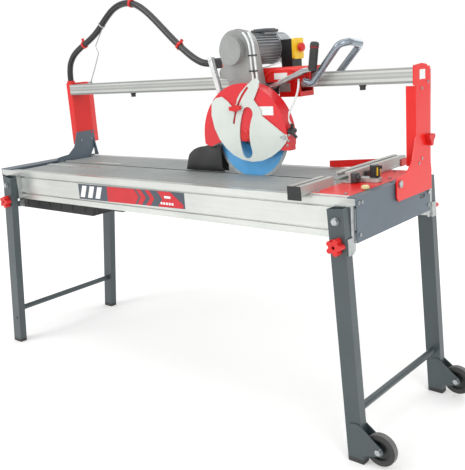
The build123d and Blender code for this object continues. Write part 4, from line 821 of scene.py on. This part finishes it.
# Fence: clamp lever with its yellow plate, pale knob, end blocks
lever = [addBlock(778, 802, -12, 12, 775.5, 780, 1.2, 2)]
plate = [addBlock(801.2, 803, -10, 10, 782, 806, 0.5, 1)]
finishPiece(joinAll(plate, "plate"), "leverPlate", "fence_knob", "yellowAbs")
finishPiece(joinAll(lever, "lever"), "leverFoot", "fence", "blackAbs")
knobProfile = [(0.01, 12), (7, 12), (10.5, 10), (11.5, 7), (11.5, 3), (10, 1), (6, 0), (0.01, 0)]
paleKnob = addLathe(knobProfile, 822, -112, 762.3, steps=28)
finishPiece(paleKnob, "paleStopKnob", "base", "creamAbs")
fenceParts = [addBlock(737, 752, -46, -22, 764, 792, 1.5, 2),
              addBlock(737, 747, 30, 62, 764, 786, 1.5, 2),
              addDrum(752, -34, 779, 8, 14, "X", 24, 1.0)]
finishPiece(joinAll(fenceParts, "blocks"), "fenceClampBlocks", "fence", "darkCasting")
scale = [addBlock(700, 828, -206.4, -204.6, 758.4, 762.2, 0.4, 1),
         addBlock(703.5, 705.5, -200, 30, 762, 762.35, 0.1, 1)]
finishPiece(joinAll(scale, "scale"), "basePlateEdge", "base", "paleLacquer")
print("stage: fence")

# Tray ribs and the seam band
traySetup = {"first": -760, "last": -300, "pitch": 76, "rib": 8}
ribsList = [addBlock(x, x + traySetup["rib"], -184.6, -182.6, 606, 634, 0.8, 1)
            for x in range(traySetup["first"], traySetup["last"], traySetup["pitch"])]
ribsList.append(addBlock(-790, -300, -184.8, -182.6, 634, 639, 0.8, 1))
finishPiece(joinAll(ribsList, "ribs"), "trayRibs", "base", "blackPolypropylene")

# Painted shade: black blocks in the beams' groove ends stand in for the shade deep in the grooves
grooveShadeSetup = {"inner": 215.4, "outer": 222.3, "half": 2.8}
grooveShadeBlocks = []
for side in (-1, 1):
    for x0, x1 in ((851.5, 857.8), (-857.8, -851.5)):
        for z in (736, 669):
            grooveShadeBlocks.append(addBlock(x0, x1, side * grooveShadeSetup["inner"], side * grooveShadeSetup["outer"],
                                  z - grooveShadeSetup["half"], z + grooveShadeSetup["half"], 0.5, 1))
finishPiece(joinAll(grooveShadeBlocks, "grooveShadeBlocks"), "beamGrooveShadeBlocks", "base", "blackAbs")
print("stage: small pieces")

# Light and floor
floorSetup = {"reach": 14.0, "near": 0.9, "far": 4.5, "glowNear": 0.16, "glowFar": 0.44}
deselectAll()
bpy.ops.mesh.primitive_plane_add(size=floorSetup["reach"] * 2, location=(0, 0, -0.0005))
floor = settle(bpy.context.object)
floor.name = "floor"
paper = finishes["palePaper"]
# a little glow keeps the paper white where the lamps fade, and leaves a soft shadow under the saw
paper.node_tree.nodes["Principled BSDF"].inputs["Emission Color"].default_value = toLinear("ffffff")
away = addNode(paper.node_tree, "ShaderNodeVectorMath", {"operation": "LENGTH"},
               {0: paper.node_tree.nodes["Texture Coordinate"].outputs["Object"]})
glow = addNode(paper.node_tree, "ShaderNodeMapRange",
               {"From Min": floorSetup["near"], "From Max": floorSetup["far"],
                "To Min": floorSetup["glowNear"], "To Max": floorSetup["glowFar"]},
               {"Value": away.outputs["Value"]})
paper.node_tree.links.new(glow.outputs[0],
                          paper.node_tree.nodes["Principled BSDF"].inputs["Emission Strength"])
floor.data.materials.append(paper)
floor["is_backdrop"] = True

lightLevels = {"ambient": 0.66, "backdrop": 1.0}
lightSetup = [  # place in metres, aim, size, watts
    ((-1.6, -3.2, 3.4), (0.0, 0.0, 0.8), 2.6, 74),
    ((3.4, -1.6, 2.2), (0.5, 0.0, 0.8), 2.0, 42),
    ((0.6, 3.2, 3.0), (0.0, 0.0, 0.9), 2.6, 34),
    ((0.2, -0.2, 4.2), (0.0, 0.0, 0.0), 3.4, 40),
]
for spot, aim, size, watts in lightSetup:
    lamp = bpy.data.objects.new("softBox", bpy.data.lights.new("softBox", "AREA"))
    lamp.data.shape = "SQUARE"
    lamp.data.size = size
    lamp.data.energy = watts
    lamp.location = spot
    lamp.rotation_euler = (Vector(aim) - Vector(spot)).to_track_quat("-Z", "Y").to_euler()
    bpy.context.scene.collection.objects.link(lamp)
world = bpy.data.worlds.new("studio")
world.use_nodes = True
sky = world.node_tree
seen = addNode(sky, "ShaderNodeLightPath")
# the backdrop looks white, and lights the saw less than it looks
strength = addNode(sky, "ShaderNodeMapRange",
                   {"To Min": lightLevels["ambient"], "To Max": lightLevels["backdrop"]},
                   {"Value": seen.outputs["Is Camera Ray"]})
background = sky.nodes["Background"]
background.inputs["Color"].default_value = toLinear("ffffff")
sky.links.new(strength.outputs[0], background.inputs["Strength"])
bpy.context.scene.world = world
bpy.context.scene.view_settings.view_transform = "Standard"
print("stage: studio")

low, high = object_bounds()
